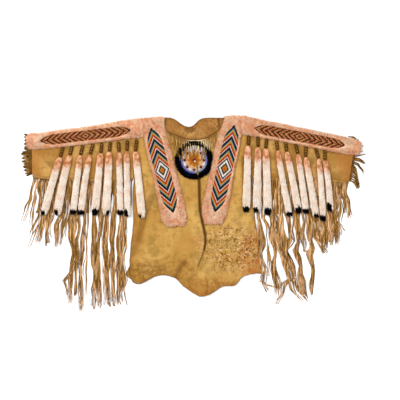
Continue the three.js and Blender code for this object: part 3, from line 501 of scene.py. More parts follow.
def sliced(skin, axis):
    """Cuts a skin with planes across the x axis, 0, or the y axis, 1."""
    spots = [v.co[axis] for v in skin.verts]
    normal = [1.0 if i == axis else 0.0 for i in range(3)]
    for step in range(math.ceil(min(spots) / SLICE), math.ceil(max(spots) / SLICE)):
        geometry = skin.verts[:] + skin.edges[:] + skin.faces[:]
        point = [component * step * SLICE for component in normal]
        bmesh.ops.bisect_plane(skin, geom=geometry, dist=GRAIN, plane_co=point, plane_no=normal)
    return skin


back = copied("back_panel")
bmesh.ops.dissolve_limit(back, angle_limit=math.radians(1), verts=back.verts, edges=back.edges)
sliced(sliced(back, 0), 1)
for v in rim_of(back):
    if v.co.y < RAGGED_BELOW:
        fray(v, 5.0)
back.normal_update()
back_paint = painted_hide(back)
back_piece = finished("back_hide", back, HIDE, back_paint)
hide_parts("back_panel")
print("back panel points", len(back_piece.data.vertices))

# %% [markdown]
# ## Cut fringe
# Fringe is cut from the same hide, but its strands twist and soil as they hang, so they are browner than
# the panels and differ from one to the next. The copy of each fringe is cut finer, and its strands are
# swollen where they leave the hide and slimmer at their ends. Long fringe lies in locks, so more copies of
# it stray from the first: all are held at the hide, and free at their ends. The last copy only fills in
# behind the fur tails, and stops there.

# %% Fringe materials
FRINGE_RELIEF = 0.0012


def fringe_finish(name, dark, mid, light, root, along=(1, 0.08, 1)):
    """Strands of several browns, streaked the way they lie, and another brown where they leave the hide."""
    finish = Finish(name, {"Roughness": 0.95, "Specular IOR Level": 0.1})
    strands = finish.cloud(120.0, 1.0, along)
    tone = finish.mix(finish.step(strands, 0.4, 0.62), ink(mid), ink(light))
    streaks = finish.cloud(270.0, 2.0, along, turn=0.06)
    tone = finish.mix((1 - finish.step(streaks, 0.4, 0.48)) * 0.8, tone, ink(dark))
    # painted shade: copies that lie lower, under the top strands, are darker
    tone = finish.mix(finish.painted("depth") * 0.5, tone, ink(dark))
    rooted = 1 - finish.step(finish.painted("free"), 0.04, 0.3)
    return finish, finish.mix(rooted * 0.75, tone, ink(root)), streaks + finish.cloud(420.0)


hanging, tone, relief = fringe_finish("fringe_hide", "#4c2e0a", "#a0732f", "#e8b682", "#a0712f")
FRINGE_HIDE = hanging.surface(tone, relief, FRINGE_RELIEF)
CUFF_BROWNS = ("#2c1a06", "#6b4718", "#9a7136", "#5f3c14")
cuff, tone, relief = fringe_finish("cuff_fringe_hide", *CUFF_BROWNS, along=(0.5, 0.5, 1))
CUFF_FRINGE_HIDE = cuff.surface(tone, relief, FRINGE_RELIEF)
bib, tone, relief = fringe_finish("bib_fringe_hide", "#50340f", "#946c32", "#c59c60", "#8a602a")
tone = bib.mix(patch(bib, 0.012, 0.255, 0.08, 0.045) * 0.9, tone, ink("#ecd3a6"))
tone = bib.mix(patch(bib, -0.005, 0.2, 0.08, 0.05) * 0.9, tone, ink("#93621f"))
BIB_FRINGE_HIDE = bib.surface(tone, relief, FRINGE_RELIEF)
print("fringe materials", FRINGE_HIDE.name, CUFF_FRINGE_HIDE.name, BIB_FRINGE_HIDE.name)

# %% Cut fringe
WOBBLE = 0.0012
LONG_EDGE = 0.012  # longer edges than this are cut finer
FREE = 0.07  # a strand lies freely this far from the hide
# Fringes: node, finish, how far its strands swell at the hide and at their ends, how far they sway,
# how many sways there are to a metre across and down the shirt, how many copies it has, and how far
# its added copies are moved right.
FRINGES = [
    ("neck_fringe", BIB_FRINGE_HIDE, 0.0004, -0.0002, 0.016, 60, 18, 1, 0),
    ("sleeve_fringe_left", FRINGE_HIDE, 0.0014, -0.0003, 0.012, 22, 14, 4, 0.007),
    ("sleeve_fringe_right", FRINGE_HIDE, 0.0014, 0.0002, 0.019, 24, 16, 4, -0.008),
    ("cuff_fringe_left", CUFF_FRINGE_HIDE, 0.003, 0.0, 0.016, 45, 45, 3, 0.003),
    ("cuff_fringe_right", CUFF_FRINGE_HIDE, 0.0004, -0.0004, 0.014, 30, 30, 2, 0.002),
]
# Copies: name, how much slimmer, how far it strays from the first, how low it lies, which also sets its
# painted shade, and its share of the move right.
COPIES = [
    ("strands", 0, 0, 0, 0),
    ("behind", 0.0002, 0.013, 0.0004, 0.3),
    ("beside", 0.0002, 0.015, 0.0008, -1),
    ("under", 0.0002, 0.01, 0.0012, 2),
]
LOWEST = COPIES[-1][3]
LAYERS_APART = 9000  # so that each copy reads its own level of the noise
STOP = -0.062  # the lowest copy stops here, across the shirt
seams_held = faces_of(["sleeve_left", "sleeve_right", "neck_flap"])


def stopped(skin, y):
    """Cuts off what hangs below a line across the shirt, and closes the cut ends."""
    geometry = skin.verts[:] + skin.edges[:] + skin.faces[:]
    below = {"plane_co": (0, y, 0), "plane_no": (0, -1, 0), "clear_outer": True}
    bmesh.ops.bisect_plane(skin, geom=geometry, dist=GRAIN, **below)
    bmesh.ops.holes_fill(skin, edges=[e for e in skin.edges if e.is_boundary], sides=0)


def cut_fringe(fringe, copy):
    """One copy of a fringe's strands, softened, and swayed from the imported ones."""
    node, material, root, end, sway, across, down, _, move = fringe
    name, slim, strays, lower, share = copy
    skin = copied(node)
    long = [e for e in skin.edges if e.calc_length() > LONG_EDGE]
    bmesh.ops.subdivide_edges(skin, edges=long, cuts=2)
    if name == "under":
        stopped(skin, STOP)
    bmesh.ops.triangulate(skin, faces=skin.faces)
    skin.normal_update()
    free = [min(1.0, seams_held.find_nearest(v.co)[3] / FREE) for v in skin.verts]
    for v, loose in zip(skin.verts, free):
        x, y = v.co.x, v.co.y
        wobble = noise.noise_vector(Vector((x * 55, y * 38, 2.0))) * WOBBLE
        swayed = noise.noise_vector(Vector((x * across, y * down, 7.0))) * loose * sway
        strayed = noise.noise_vector(Vector((x * 34, y * 14, lower * LAYERS_APART))) * loose * strays
        bulge = root + (end - root) * loose - slim
        v.co.x += wobble.x + swayed.x + strayed.x + v.normal.x * bulge + share * move
        v.co.y += wobble.y + (swayed.y + strayed.y) * 0.4 + v.normal.y * bulge
        v.co.z = max(0.0, v.co.z - lower)
    skin.normal_update()
    # depth carries the painted shade of the lower copies
    paint = {"free": free, "depth": [lower / LOWEST] * len(free)}
    return finished(f"{node}_{name}", skin, material, paint)


fringes = {}
for fringe in FRINGES:
    node, copies = fringe[0], fringe[7]
    fringes[node] = [cut_fringe(fringe, copy) for copy in COPIES[:copies]]
for node, pieces in fringes.items():
    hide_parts(node)
print("fringe faces", sum(len(piece.data.polygons) for pieces in fringes.values() for piece in pieces))

# %% [markdown]
# ## Many small things
# Beads, tufts of fur and turns of thread are small shapes repeated thousands of times. One small template
# is made with bmesh, and numpy lays out all its copies in one mesh, each with its own place and colour. The
# colour is painted on the points as "tint", so one material serves them all.

# %% Many small things
def tinted(mesh, rows):
    """Paints a row of colour on each point of a mesh."""
    layer = mesh.attributes.new("tint", "FLOAT_COLOR", "POINT")
    layer.data.foreach_set("color", rows.ravel())


def scattered(name, template, frames, tints, material):
    """Repeats a template at every 4x4 frame, tinted, as one piece."""
    bmesh.ops.triangulate(template, faces=template.faces)
    template.verts.index_update()
    shape = np.array([v.co[:] for v in template.verts])
    corners = np.array([[v.index for v in f.verts] for f in template.faces])
    frames = np.asarray(frames)
    spots = np.einsum("nij,vj->nvi", frames[:, :3, :3], shape) + frames[:, None, :3, 3]
    spots[:, :, 2] = np.maximum(spots[:, :, 2], 0)  # nothing reaches through the floor
    loops = corners[None] + len(shape) * np.arange(len(frames))[:, None, None]
    mesh = bpy.data.meshes.new(name)
    mesh.vertices.add(spots.size // 3)
    mesh.vertices.foreach_set("co", spots.ravel())
    mesh.loops.add(loops.size)
    mesh.loops.foreach_set("vertex_index", loops.ravel())
    mesh.polygons.add(loops.size // 3)
    mesh.polygons.foreach_set("loop_start", np.arange(0, loops.size, 3))
    mesh.update(calc_edges=True)
    mesh.shade_smooth()
    tinted(mesh, np.repeat(np.asarray(tints), len(shape), axis=0))
    template.free()
    return placed(name, mesh, material)


def frames_from(places, x_axes, y_axes, z_axes):
    """4x4 frames from rows of places and axes."""
    frames = np.zeros((len(places), 4, 4))
    frames[:, :3, 0] = x_axes
    frames[:, :3, 1] = y_axes
    frames[:, :3, 2] = z_axes
    frames[:, :3, 3] = places
    frames[:, 3, 3] = 1
    return frames


def unit(rows):
    return rows / np.maximum(np.linalg.norm(rows, axis=1, keepdims=True), 1e-9)


def blotch(places, scale, seed):
    """Soft noise at places, about -1 to 1."""
    return np.array([noise.noise(Vector((x * scale, y * scale, seed))) for x, y, _ in places]) * 2


def blended(first, second, share):
    """Rows of colour between two inks."""
    share = np.clip(share, 0, 1)[:, None]
    return np.array(ink(first)) * (1 - share) + np.array(ink(second)) * share


print("scatter ready")

# %% [markdown]
# ## Fur
# Fur lies in tufts, each a lock of hairs that leans the way it is combed. A tuft here is a three-sided
# spike with a bend in it, thirty or so hairs wide. Thousands of them stand on the rounded pelt, and those at
# its edges make the fuzzy outline. Their colour drifts from lock to lock, as dye does in fur.

# %% Tufts
def tuft():
    """A bent spike, one unit long, that curves towards +X."""
    spike = bmesh.new()
    bmesh.ops.create_cone(spike, cap_ends=True, segments=3, radius1=0.5, radius2=0.0, depth=1.0)
    bmesh.ops.translate(spike, verts=spike.verts, vec=(0, 0, 0.5))
    geometry = spike.verts[:] + spike.edges[:] + spike.faces[:]
    bmesh.ops.bisect_plane(spike, geom=geometry, dist=GRAIN, plane_co=(0, 0, 0.45), plane_no=(0, 0, 1))
    middle = [v for v in spike.verts if 0.3 < v.co.z < 0.6]
    tip = [v for v in spike.verts if v.co.z > 0.9]
    bmesh.ops.scale(spike, verts=middle, vec=(1.5, 1.5, 1))
    bmesh.ops.translate(spike, verts=tip, vec=(1.1, 0, 0))
    return spike


def spots_on(skin, count, seed):
    """Random spots on the parts of a skin that can be seen, and the way the skin faces there."""
    bmesh.ops.triangulate(skin, faces=skin.faces)
    seen = [f for f in skin.faces if f.normal.z > -0.2]
    corners = np.array([[v.co[:] for v in f.verts] for f in seen])
    facing = np.array([f.normal[:] for f in seen])
    size = np.array([f.calc_area() for f in seen])
    chance = np.random.default_rng(seed)
    pick = chance.choice(len(seen), count, p=size / size.sum())
    a, b = chance.random((2, count, 1))
    a, b = np.where(a + b > 1, 1 - a, a), np.where(a + b > 1, 1 - b, b)
    first, second, third = corners[pick, 0], corners[pick, 1], corners[pick, 2]
    return first + a * (second - first) + b * (third - first), facing[pick]


def combed(places, facing, comb, lift, length, width, seed):
    """Frames of tufts that lean from the skin towards the comb's direction."""
    chance = np.random.default_rng(seed)
    lean = unit(facing * lift + comb + chance.normal(0, 0.33, places.shape))
    side = unit(np.cross(lean, facing + chance.normal(0, 0.2, places.shape)))
    ahead = np.cross(side, lean)
    long = length * chance.uniform(0.7, 1.3, len(places))[:, None]
    wide = width * chance.uniform(0.7, 1.3, len(places))[:, None]
    return frames_from(places, ahead * -wide, side * wide, lean * long)


def fur_finish(name, dark, strength):
    """Fur takes its tint from the mesh, with painted shade between its hairs."""
    finish = Finish(name, {"Roughness": 1.0, "Specular IOR Level": 0.06})
    hairs = finish.cloud(900.0, 2.0)
    # painted shade between the hairs
    shade_between_hairs = (1 - finish.step(hairs, 0.3, 0.6)) * strength
    colour = finish.mix(shade_between_hairs, finish.painted("tint", 0), ink(dark), "MULTIPLY")
    return finish.surface(colour, hairs, 0.0006)


DYED_FUR = fur_finish("dyed_fur", "#ecc4a2", 0.45)
DARK_FUR = fur_finish("dark_fur", "#404048", 0.6)
WHITE_FUR = fur_finish("white_fur", "#e6d2c2", 0.6)
print("fur materials", DYED_FUR.name, DARK_FUR.name, WHITE_FUR.name)

# %% [markdown]
# ## The four fur strips
# Each strip is a pelt, and its beadwork lies in a bed along its middle, so no tuft starts there. The comb
# points out from the middle line and a little way along the strip.

# %% The four fur strips
# Beaded strips: the two tips of each on the plan, and half the width of its beadwork.
BEADED = [
    ("chest_beads_left", "chest_fur_left", (-0.207, 0.341), (-0.101, -0.063), 0.0375),
    ("chest_beads_right", "chest_fur_right", (0.186, 0.353), (0.093, -0.059), 0.0375),
    ("sleeve_beads_left", "sleeve_fur_left", (-0.299, 0.328), (-0.728, 0.276), 0.0245),
    ("sleeve_beads_right", "sleeve_fur_right", (0.275, 0.338), (0.705, 0.256), 0.0245),
]
TUFTS = 7500
TUFT_LONG = 0.0095
TUFT_WIDE = 0.0026
furs_made = {}


def pelt(node):
    skin = rounded(copied(node), 2, math.pi)
    for v in skin.verts:
        v.co.z += 0.0012 * noise.noise(v.co * 45) * min(1.0, max(0.0, v.co.z - 0.008) * 400)
    return skin


def dyed(places, worn):
    """The dye's drift: peach, with browner and paler locks, and worn pale round the beadwork's end."""
    drift = 0.6 + 0.5 * blotch(places, 28, 3.0) + 0.35 * blotch(places, 70, 8.0)
    far = np.linalg.norm(places[:, :2] - np.array(worn), axis=1)
    pale = np.clip(blotch(places, 48, 12.0) * 0.9 - 0.2, 0, 0.3) + np.clip(1.6 - far / 0.021, 0, 0.8)
    pale = np.clip(pale, 0, 0.9)[:, None]
    brown = np.clip(blotch(places, 150, 5.0) * 2 - 0.9, 0, 0.5)[:, None]
    rows = blended("#f6b184", "#ffdab8", drift)
    rows = rows * (1 - pale) + np.array(ink("#ffe2c6")) * pale
    return rows * (1 - brown) + np.array(ink("#b8713c")) * brown


for number, (beads, fur, tip, end, half) in enumerate(BEADED):
    skin = pelt(fur)
    bed = faces_of([beads])
    places, facing = spots_on(skin, TUFTS * 3, number)
    free = np.array([height(bed, x, y) is None for x, y, _ in places])
    places, facing = places[free][:TUFTS], facing[free][:TUFTS]
    along = np.array([end[0] - tip[0], end[1] - tip[1], 0])
    along /= np.linalg.norm(along)
    from_tip = places - np.array([tip[0], tip[1], 0])
    out = from_tip - np.outer(from_tip @ along, along)
    out[:, 2] = 0
    comb = unit(out) * 0.55 + along * 0.5
    frames = combed(places, facing, comb, 0.5, TUFT_LONG, TUFT_WIDE, 20 + number)
    tints = dyed(places, end) * np.random.default_rng(number).uniform(0.95, 1.1, (len(places), 1))
    hair = scattered(f"{fur}_hair", tuft(), frames, tints, DYED_FUR)
    base = dyed(np.array([v.co[:] for v in skin.verts]), end)
    body = finished(f"{fur}_pelt", skin, DYED_FUR)
    tinted(body.data, base)
    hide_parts(fur)
    furs_made[fur] = (body, hair)
    print(fur, "tufts", len(places))

# %% [markdown]
# ## Beads
# A seed bead is a short glass barrel, a little wider than it is long. A squashed icosphere with twenty
# faces has its look at this size. The beads lie in rows across each strip, sewn in lanes that swell a
# little between the stitches. The pattern is charted by arithmetic: a chevron is a line along which the
# distance from the strip's middle, plus a slope times the distance from its centre line, stays the same.

# %% Beads
BEAD_WIDE = 0.00235
BEAD_LONG = 0.00205
SNUG = 1.14  # a bead's size as a share of its place in the row, so that no thread shows between
BEAD_HIGH = 0.0021
LANE = 0.0185
LANE_SWELL = 0.00035
SLOPE = 1.45  # as the strips' own points

GLASS = {
    "navy": "#020e24", "teal": "#68ada6", "gold": "#f2a433", "red": "#c02803", "white": "#fffaf2",
    "black": "#020204", "green": "#06181a", "rust": "#bd5f2c", "tan": "#e6a570",
    "orange": "#d8701c", "blue": "#080c38", "periwinkle": "#8588cf", "peach": "#f9c8a4", "maroon": "#4c0a24",
    "yellow": "#eeb01c", "blush": "#ffe4d6", "brick": "#a03c20", "amber": "#d08c34", "mist": "#a3b4cc",
}
FILL = 0.1  # a band wider than any strip, for the middle of a diamond
CHEST_CHEVRONS = 3
SLEEVE_CHEVRONS = 7
# Charts: bands of colour from a strip's tip inwards, with their widths in metres, repeated; then the
# diamond's.
CHEST_CHEVRON = [("navy", 0.0178), ("teal", 0.0065), ("gold", 0.0088), ("red", 0.0128), ("blush", 0.0068)]
CHEST_DIAMOND = [("black", 0.0102), ("white", 0.0135), ("green", 0.0115), ("gold", 0.004), ("orange", FILL)]
SLEEVE_CHEVRON = [("black", 0.0108), ("mixed", 0.0162)]
SLEEVE_DIAMOND = [("black", 0.0098), ("tan", 0.0062), ("rust", 0.0062), ("black", 0.005), ("orange", FILL)]
MIXED = ["brick", "rust", "tan", "rust", "amber", "tan"]  # the sleeves' rows between the black ones

beadwork = Finish("glass_beads", {"Roughness": 0.4, "Specular IOR Level": 0.14, "Coat Weight": 0.03})
shade = beadwork.step(beadwork.cloud(700.0, 1.0), 0.3, 0.5)
BEAD_GLASS = beadwork.surface(beadwork.mix((1 - shade) * 0.15, beadwork.painted("tint", 0), ink("#2a1b12")))
backing = Finish("beadwork_backing", {"Roughness": 0.9})
weave = backing.cloud(1500.0, 1.0)
BACKING = backing.surface(backing.mix(weave, ink("#2c1f14"), ink("#4a3524")), weave, 0.0004)


def bead():
    ball = bmesh.new()
    bmesh.ops.create_icosphere(ball, subdivisions=1, radius=0.5)
    return ball


def banded(depth, bands):
    """The colour at a depth below the top of a list of bands."""
    for colour, wide in bands:
        if depth < wide:
            return colour
        depth -= wide
    return bands[-1][0]


def charted(level, chevron, diamond, repeats, longest):
    """The colour of a bead by how far out it lies: chevrons from the tips inwards, then the diamond."""
    period = sum(wide for _, wide in chevron)
    depth = longest - level
    if depth >= repeats * period:
        return banded(depth - repeats * period, diamond)
    return banded(max(0.0, depth) % period, chevron)


def glass(names, seed):
    """Tints for named colours, a little different from bead to bead."""
    rows = np.array([ink(GLASS[name]) for name in names])
    chance = np.random.default_rng(seed)
    rows[:, :3] *= chance.uniform(0.8, 1.15, (len(rows), 1))
    return rows


def bead_strip(node, tip, end, half, chevron, diamond, repeats, seed):
    tree = faces_of([node])
    tip, end = np.array(tip), np.array(end)
    length = np.linalg.norm(end - tip)
    along = (end - tip) / length
    across = np.array([-along[1], along[0]])
    chance = np.random.default_rng(seed)
    places, names = [], []
    for run in np.arange(0.003, length - 0.002, BEAD_LONG):
        reach = min(half, run / SLOPE, (length - run) / SLOPE) - BEAD_WIDE * 0.4
        swell = LANE_SWELL * math.sin(math.pi * ((run / LANE) % 1.0))
        for side in range(-int(reach // BEAD_WIDE), int(reach // BEAD_WIDE) + 1):
            off = side * BEAD_WIDE
            x, y = tip + along * run + across * off + chance.normal(0, 0.00012, 2)
            top = height(tree, x, y)
            if top is not None:
                places.append((x, y, top - BEAD_HIGH / 2 + swell))
                level = abs(run - length / 2) + SLOPE * abs(off)
                name = charted(level, chevron, diamond, repeats, length / 2)
                pick = noise.noise(Vector((x * 95, y * 95, 4.0))) * 0.8 + 0.5
                names.append(MIXED[int(pick * len(MIXED)) % len(MIXED)] if name == "mixed" else name)
    turned = [np.tile(np.append(axis, 0), (len(places), 1)) for axis in (across, along)]
    upright = np.tile((0, 0, BEAD_HIGH), (len(places), 1))
    frames = frames_from(places, turned[0] * BEAD_WIDE * SNUG, turned[1] * -BEAD_LONG * SNUG, upright)
    return scattered(f"{node}_rows", bead(), frames, glass(names, seed), BEAD_GLASS)


def bed_under(node):
    """The cloth that beads are sewn to: a copy of their solid, lowered."""
    skin = copied(node)
    for v in skin.verts:
        if v.normal.z > 0.1:
            v.co.z -= BEAD_HIGH * 0.62
    skin.normal_update()
    return finished(f"{node}_backing", skin, BACKING)


CHARTS = {
    "chest": (CHEST_CHEVRON, CHEST_DIAMOND, CHEST_CHEVRONS),
    "sleeve": (SLEEVE_CHEVRON, SLEEVE_DIAMOND, SLEEVE_CHEVRONS),
}
for number, (beads, _, tip, end, half) in enumerate(BEADED):
    charts = CHARTS[beads.split("_")[0]]
    rows = bead_strip(beads, tip, end, half, *charts, 40 + number)
    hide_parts(beads)
    bed_under(beads)
    print(beads, "faces", len(rows.data.polygons))

# %% [markdown]
# ## The rosette
# The rosette is a beaded disc on a round of black fur. Its beads are sewn in rings, one inside the next,
# and its chart runs inwards: navy, periwinkle, a pale ring with dark diamonds, and a golden star. A knot of
# hide closes the middle, and a thong hangs from it over the rim.

# %% The rosette
ROSETTE = (-0.004, 0.187)
DISC = 0.066
POINTS = 8
RIM_TUFTS = 9000
RIM_TUFT_LONG = 0.009


def rosette_colour(radius, angle):
    """The rosette's chart, by the distance from its middle and the angle round it."""
    wave = math.cos(POINTS * angle)
    aside = abs(math.remainder(angle, math.tau / POINTS)) * radius
    diamond = abs(radius - 0.0455) / 0.0088 + aside / 0.0076
    if radius > 0.0615:
        return "blue"
    if diamond < 1:
        return "maroon"
    if radius > 0.0525:
        return "mist" if math.cos(angle + 0.9) > 0.8 else "periwinkle"
    if radius > 0.031 + 0.0045 * wave:
        return "white" if wave < -0.3 and radius > 0.041 else "peach"
    if radius > 0.0235 + 0.006 * wave:
        return "yellow"
    if radius > 0.0125 + 0.004 * wave:
        return "orange"
    return "maroon" if wave < -0.2 or radius < 0.004 else "rust"


disc = faces_of(["rosette_beads"])
places, names, spokes = [], [], []
for ring in np.arange(0.0025, DISC - BEAD_LONG / 2, BEAD_LONG * 1.04):
    count = int(math.tau * ring / BEAD_WIDE)
    for i in range(count):
        angle = math.tau * i / count
        x, y = ROSETTE[0] + ring * math.cos(angle), ROSETTE[1] + ring * math.sin(angle)
        places.append((x, y, height(disc, x, y) - BEAD_HIGH / 2))
        names.append(rosette_colour(ring, angle))
        spokes.append((math.cos(angle), math.sin(angle), 0))
spokes = np.array(spokes)
tangents = np.stack([-spokes[:, 1], spokes[:, 0], spokes[:, 2]], axis=1)
upright = np.tile((0, 0, BEAD_HIGH), (len(places), 1))
frames = frames_from(places, tangents * BEAD_WIDE * SNUG, spokes * -BEAD_LONG * SNUG, upright)
rosette = scattered("rosette_rings", bead(), frames, glass(names, 60), BEAD_GLASS)
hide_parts("rosette_beads")
bed_under("rosette_beads")

rim = copied("rosette_rim")
places, facing = spots_on(rim, RIM_TUFTS, 61)
middle = np.array([ROSETTE[0], ROSETTE[1], 0])
out = places - middle
out[:, 2] = 0
free = np.linalg.norm(out, axis=1) > DISC + 0.001
places, facing, out = places[free], facing[free], out[free]
frames = combed(places, facing, unit(out) * 0.8, 0.5, RIM_TUFT_LONG, TUFT_WIDE, 62)
low_side = np.clip(-out[:, 1] / 0.03, 0, 1)
inner = ((DISC + 0.005 - np.linalg.norm(out, axis=1)) / 0.005 + blotch(places, 60, 4.0)) * low_side
tints = blended("#020204", "#0a1038", inner)
scattered("rosette_rim_hair", tuft(), frames, tints, DARK_FUR)
rim_pelt = finished("rosette_rim_pelt", rounded(copied("rosette_rim"), 1, math.pi), DARK_FUR)
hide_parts("rosette_rim")
print("rosette beads", len(names), "rim tufts", len(places))

# %% [markdown]
# ## Knot and thong
# The thong is a cut strip of hide. It is drawn as a ring of points that is extruded from stop to stop along
# its route, so its section stays flat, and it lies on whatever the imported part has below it.

# %% Knot and thong
RING_STEPS = 12
KNOT_THICK = 0.0016
THONG_ROUTE = [(0.0, 0.178), (0.006, 0.165), (0.0115, 0.15), (0.0135, 0.13), (0.014, 0.112), (0.0145, 0.1)]
THONG_WIDE = 0.0085
THONG_HIGH = 0.0022
all_faces = faces_of(["front_panel", "rosette_rim", "rosette_beads", "neck_fringe"])


def thong(route, tree):
    """Extrudes an oval section along a route that lies on the faces of a tree."""
    strip = bmesh.new()
    section = bmesh.ops.create_circle(strip, cap_ends=True, segments=8, radius=0.5)["verts"]
    stops = [Vector((x, y, height(tree, x, y) + THONG_HIGH * 0.75)) for x, y in route]
    heading = (stops[1] - stops[0]).normalized()
    turn = Matrix((heading.cross((0, 0, 1)), (0, 0, 1), heading)).transposed().to_4x4()
    size = Matrix.Diagonal((THONG_WIDE, THONG_HIGH, 1, 1))
    bmesh.ops.transform(strip, matrix=Matrix.Translation(stops[0]) @ turn @ size, verts=section)
    for before, after in zip(stops, stops[1:]):
        cap = min(strip.faces, key=lambda f: (f.calc_center_median() - before).length)
        pushed = bmesh.ops.extrude_face_region(strip, geom=[cap])["geom"]
        bmesh.ops.delete(strip, geom=[cap], context="FACES")
        moved = [g for g in pushed if isinstance(g, bmesh.types.BMVert)]
        bmesh.ops.translate(strip, verts=moved, vec=after - before)
    bmesh.ops.recalc_face_normals(strip, faces=strip.faces)
    return strip


def spun_ring(sides, thick, reach):
    """A ring about Z: a section with that many sides and half thickness, spun at a reach from the middle."""
    ring = bmesh.new()
    section = bmesh.ops.create_circle(ring, cap_ends=False, segments=sides, radius=thick)["verts"]
    bmesh.ops.rotate(ring, verts=section, cent=(0, 0, 0), matrix=Matrix.Rotation(math.pi / 2, 3, "X"))
    bmesh.ops.translate(ring, verts=section, vec=(reach, 0, 0))
    whole = {"cent": (0, 0, 0), "axis": (0, 0, 1), "angle": math.tau, "steps": RING_STEPS, "use_merge": True}
    bmesh.ops.spin(ring, geom=ring.verts[:] + ring.edges[:], **whole)
    bmesh.ops.remove_doubles(ring, verts=ring.verts, dist=GRAIN)
    bmesh.ops.recalc_face_normals(ring, faces=ring.faces)
    return ring


def knot(x, y, tree):
    """A tied knot, drawn as a small thick ring that lies on the beads."""
    coil = spun_ring(6, KNOT_THICK, 0.0028)
    bmesh.ops.translate(coil, verts=coil.verts, vec=(x, y, height(tree, x, y) + KNOT_THICK))
    return coil


pale_hide = Finish("pale_thong", {"Roughness": 0.85, "Specular IOR Level": 0.2})
nap = pale_hide.cloud(300.0, 4.0)
PALE_HIDE = pale_hide.surface(pale_hide.mix(nap, ink("#6f4f1e"), ink("#a87b3a")), nap, 0.0008)
cream = Finish("cream_knot", {"Roughness": 0.6})
CREAM = cream.surface(cream.mix(cream.cloud(300.0), ink("#d9c08c"), ink("#fff3d2")))
thong_piece = finished("rosette_thong", thong(THONG_ROUTE, all_faces), PALE_HIDE)
finished("rosette_knot", knot(-0.0005, 0.1815, disc), CREAM)
print("thong points", len(thong_piece.data.vertices))

# %% [markdown]
# ## Wrapped bars
# Above each tail a bar of hide is wound with dark quill or thread. The core is a smaller copy of the bar's
# solid. A turn of the winding is a thin ring, spun from a four-sided section, and twelve of them cover the
# core. Pale specks show where lighter quills cross.

# %% Wrapped bars
TURNS = 12
BAR_HALF_WIDE = 0.0083
BAR_HALF_HIGH = 0.0034
SPECKS = [0.3, 0.52, 0.76]  # where they lie along the bar, as shares of its length
BAR_END = 0.004  # the winding stops this far from each end
TURN_THICK = 0.011
wound = Finish("wound_quill", {"Roughness": 0.6, "Specular IOR Level": 0.15})
quill = wound.cloud(500.0, 2.0)
QUILL = wound.surface(wound.mix(quill * 0.4, wound.painted("tint", 0), ink("#1a0e04")), quill, 0.0004)


def turn_of_thread():
    """A ring of about one unit's radius, thin and low."""
    return spun_ring(4, 0.16, 0.86)


def spine_of(node, bend):
    """The middle line of a long node as a curve of x by y, and its lowest and highest corners."""
    spots = np.array([v.co[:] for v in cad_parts[node].data.vertices])
    return np.polyfit(spots[:, 1], spots[:, 0], bend), spots.min(axis=0), spots.max(axis=0)


wraps = {}
for side in ("left", "right"):
    for number in range(1, 10):
        node = f"wrap_{side}_{number}"
        line, low, high = spine_of(node, 1)
        along = unit(np.array([[line[0], 1.0, 0.0]]))[0]
        across = np.array([along[1], -along[0], 0.0])
        spots = np.linspace(low[1] + BAR_END, high[1] - BAR_END, TURNS)
        places = np.stack([np.polyval(line, spots), spots, np.full(TURNS, (low[2] + high[2]) / 2)], axis=1)
        size = (across * BAR_HALF_WIDE, (0, 0, BAR_HALF_HIGH), along * TURN_THICK)
        axes = frames_from(places, *[np.tile(a, (TURNS, 1)) for a in size])
        chance = np.random.default_rng(number)
        tints = blended("#452803", "#7a4f0e", chance.random(TURNS))
        turns = scattered(f"{node}_turns", turn_of_thread(), axes, tints, QUILL)
        spots = low[1] + (high[1] - low[1]) * (np.array(SPECKS) + chance.uniform(-0.05, 0.05, len(SPECKS)))
        places = np.stack([np.polyval(line, spots), spots, np.full(len(SPECKS), high[2] - 0.0006)], axis=1)
        size = (across * 0.0062, along * -0.0046, (0, 0, 0.0018))
        axes = frames_from(places, *[np.tile(a, (len(SPECKS), 1)) for a in size])
        tints = blended("#b07c2c", "#e6b458", chance.random(len(SPECKS)))
        specks = scattered(f"{node}_specks", bead(), axes, tints, QUILL)
        core = copied(node)
        centre = Vector((low + high) / 2)
        bmesh.ops.scale(core, verts=core.verts, vec=(0.86, 0.97, 0.86), space=Matrix.Translation(-centre))
        core = rounded(core, 1)
        dark = np.tile(ink("#2a1704"), (len(core.verts), 1))
        body = finished(f"{node}_core", core, QUILL)
        tinted(body.data, dark)
        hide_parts(node)
        wraps[node] = (body, turns, specks)
print("wrapped bars", len(wraps))

# %% [markdown]
# ## Fur tails
# Each tail is white fur over a soft core, dyed salmon where it is tied, with a black tip. The tufts lie
# along the tail, and the last ones run past its end, so that it closes in a brush. No two tips are alike:
# the black is a blot that sits left, right or across, so each tail has its own row in a table.

# %% Fur tails
# The black of each tip, from the cuff in and from the body out: its middle as a share of the tail's
# half width, its half width in the same share, and its height.
BLACK_LEFT = [
    (-0.45, 0.6, 0.018), (-0.5, 0.6, 0.024), (-0.1, 0.9, 0.015), (-0.15, 0.95, 0.019), (0.05, 1.0, 0.026),
    (0.6, 0.5, 0.02), (-0.05, 1.1, 0.019), (-0.5, 0.6, 0.03), (-0.5, 0.4, 0.013),
]
BLACK_RIGHT = [
    (-0.05, 0.9, 0.024), (-0.25, 0.75, 0.018), (0.0, 1.2, 0.03), (0.1, 0.8, 0.018), (0.2, 0.9, 0.027),
    (0.0, 1.1, 0.02), (0.1, 0.6, 0.014), (0.0, 1.2, 0.026), (-0.4, 0.75, 0.036),
]
DYED_TOP = 0.068
HALF_TAIL = 0.019
TAIL_TUFTS = 1500
TAIL_TUFT_LONG = 0.014
TAIL_TUFT_WIDE = 0.0032
TAIL_COMB = 3.2  # how flat the hair lies along the tail
END_TUFTS = 120


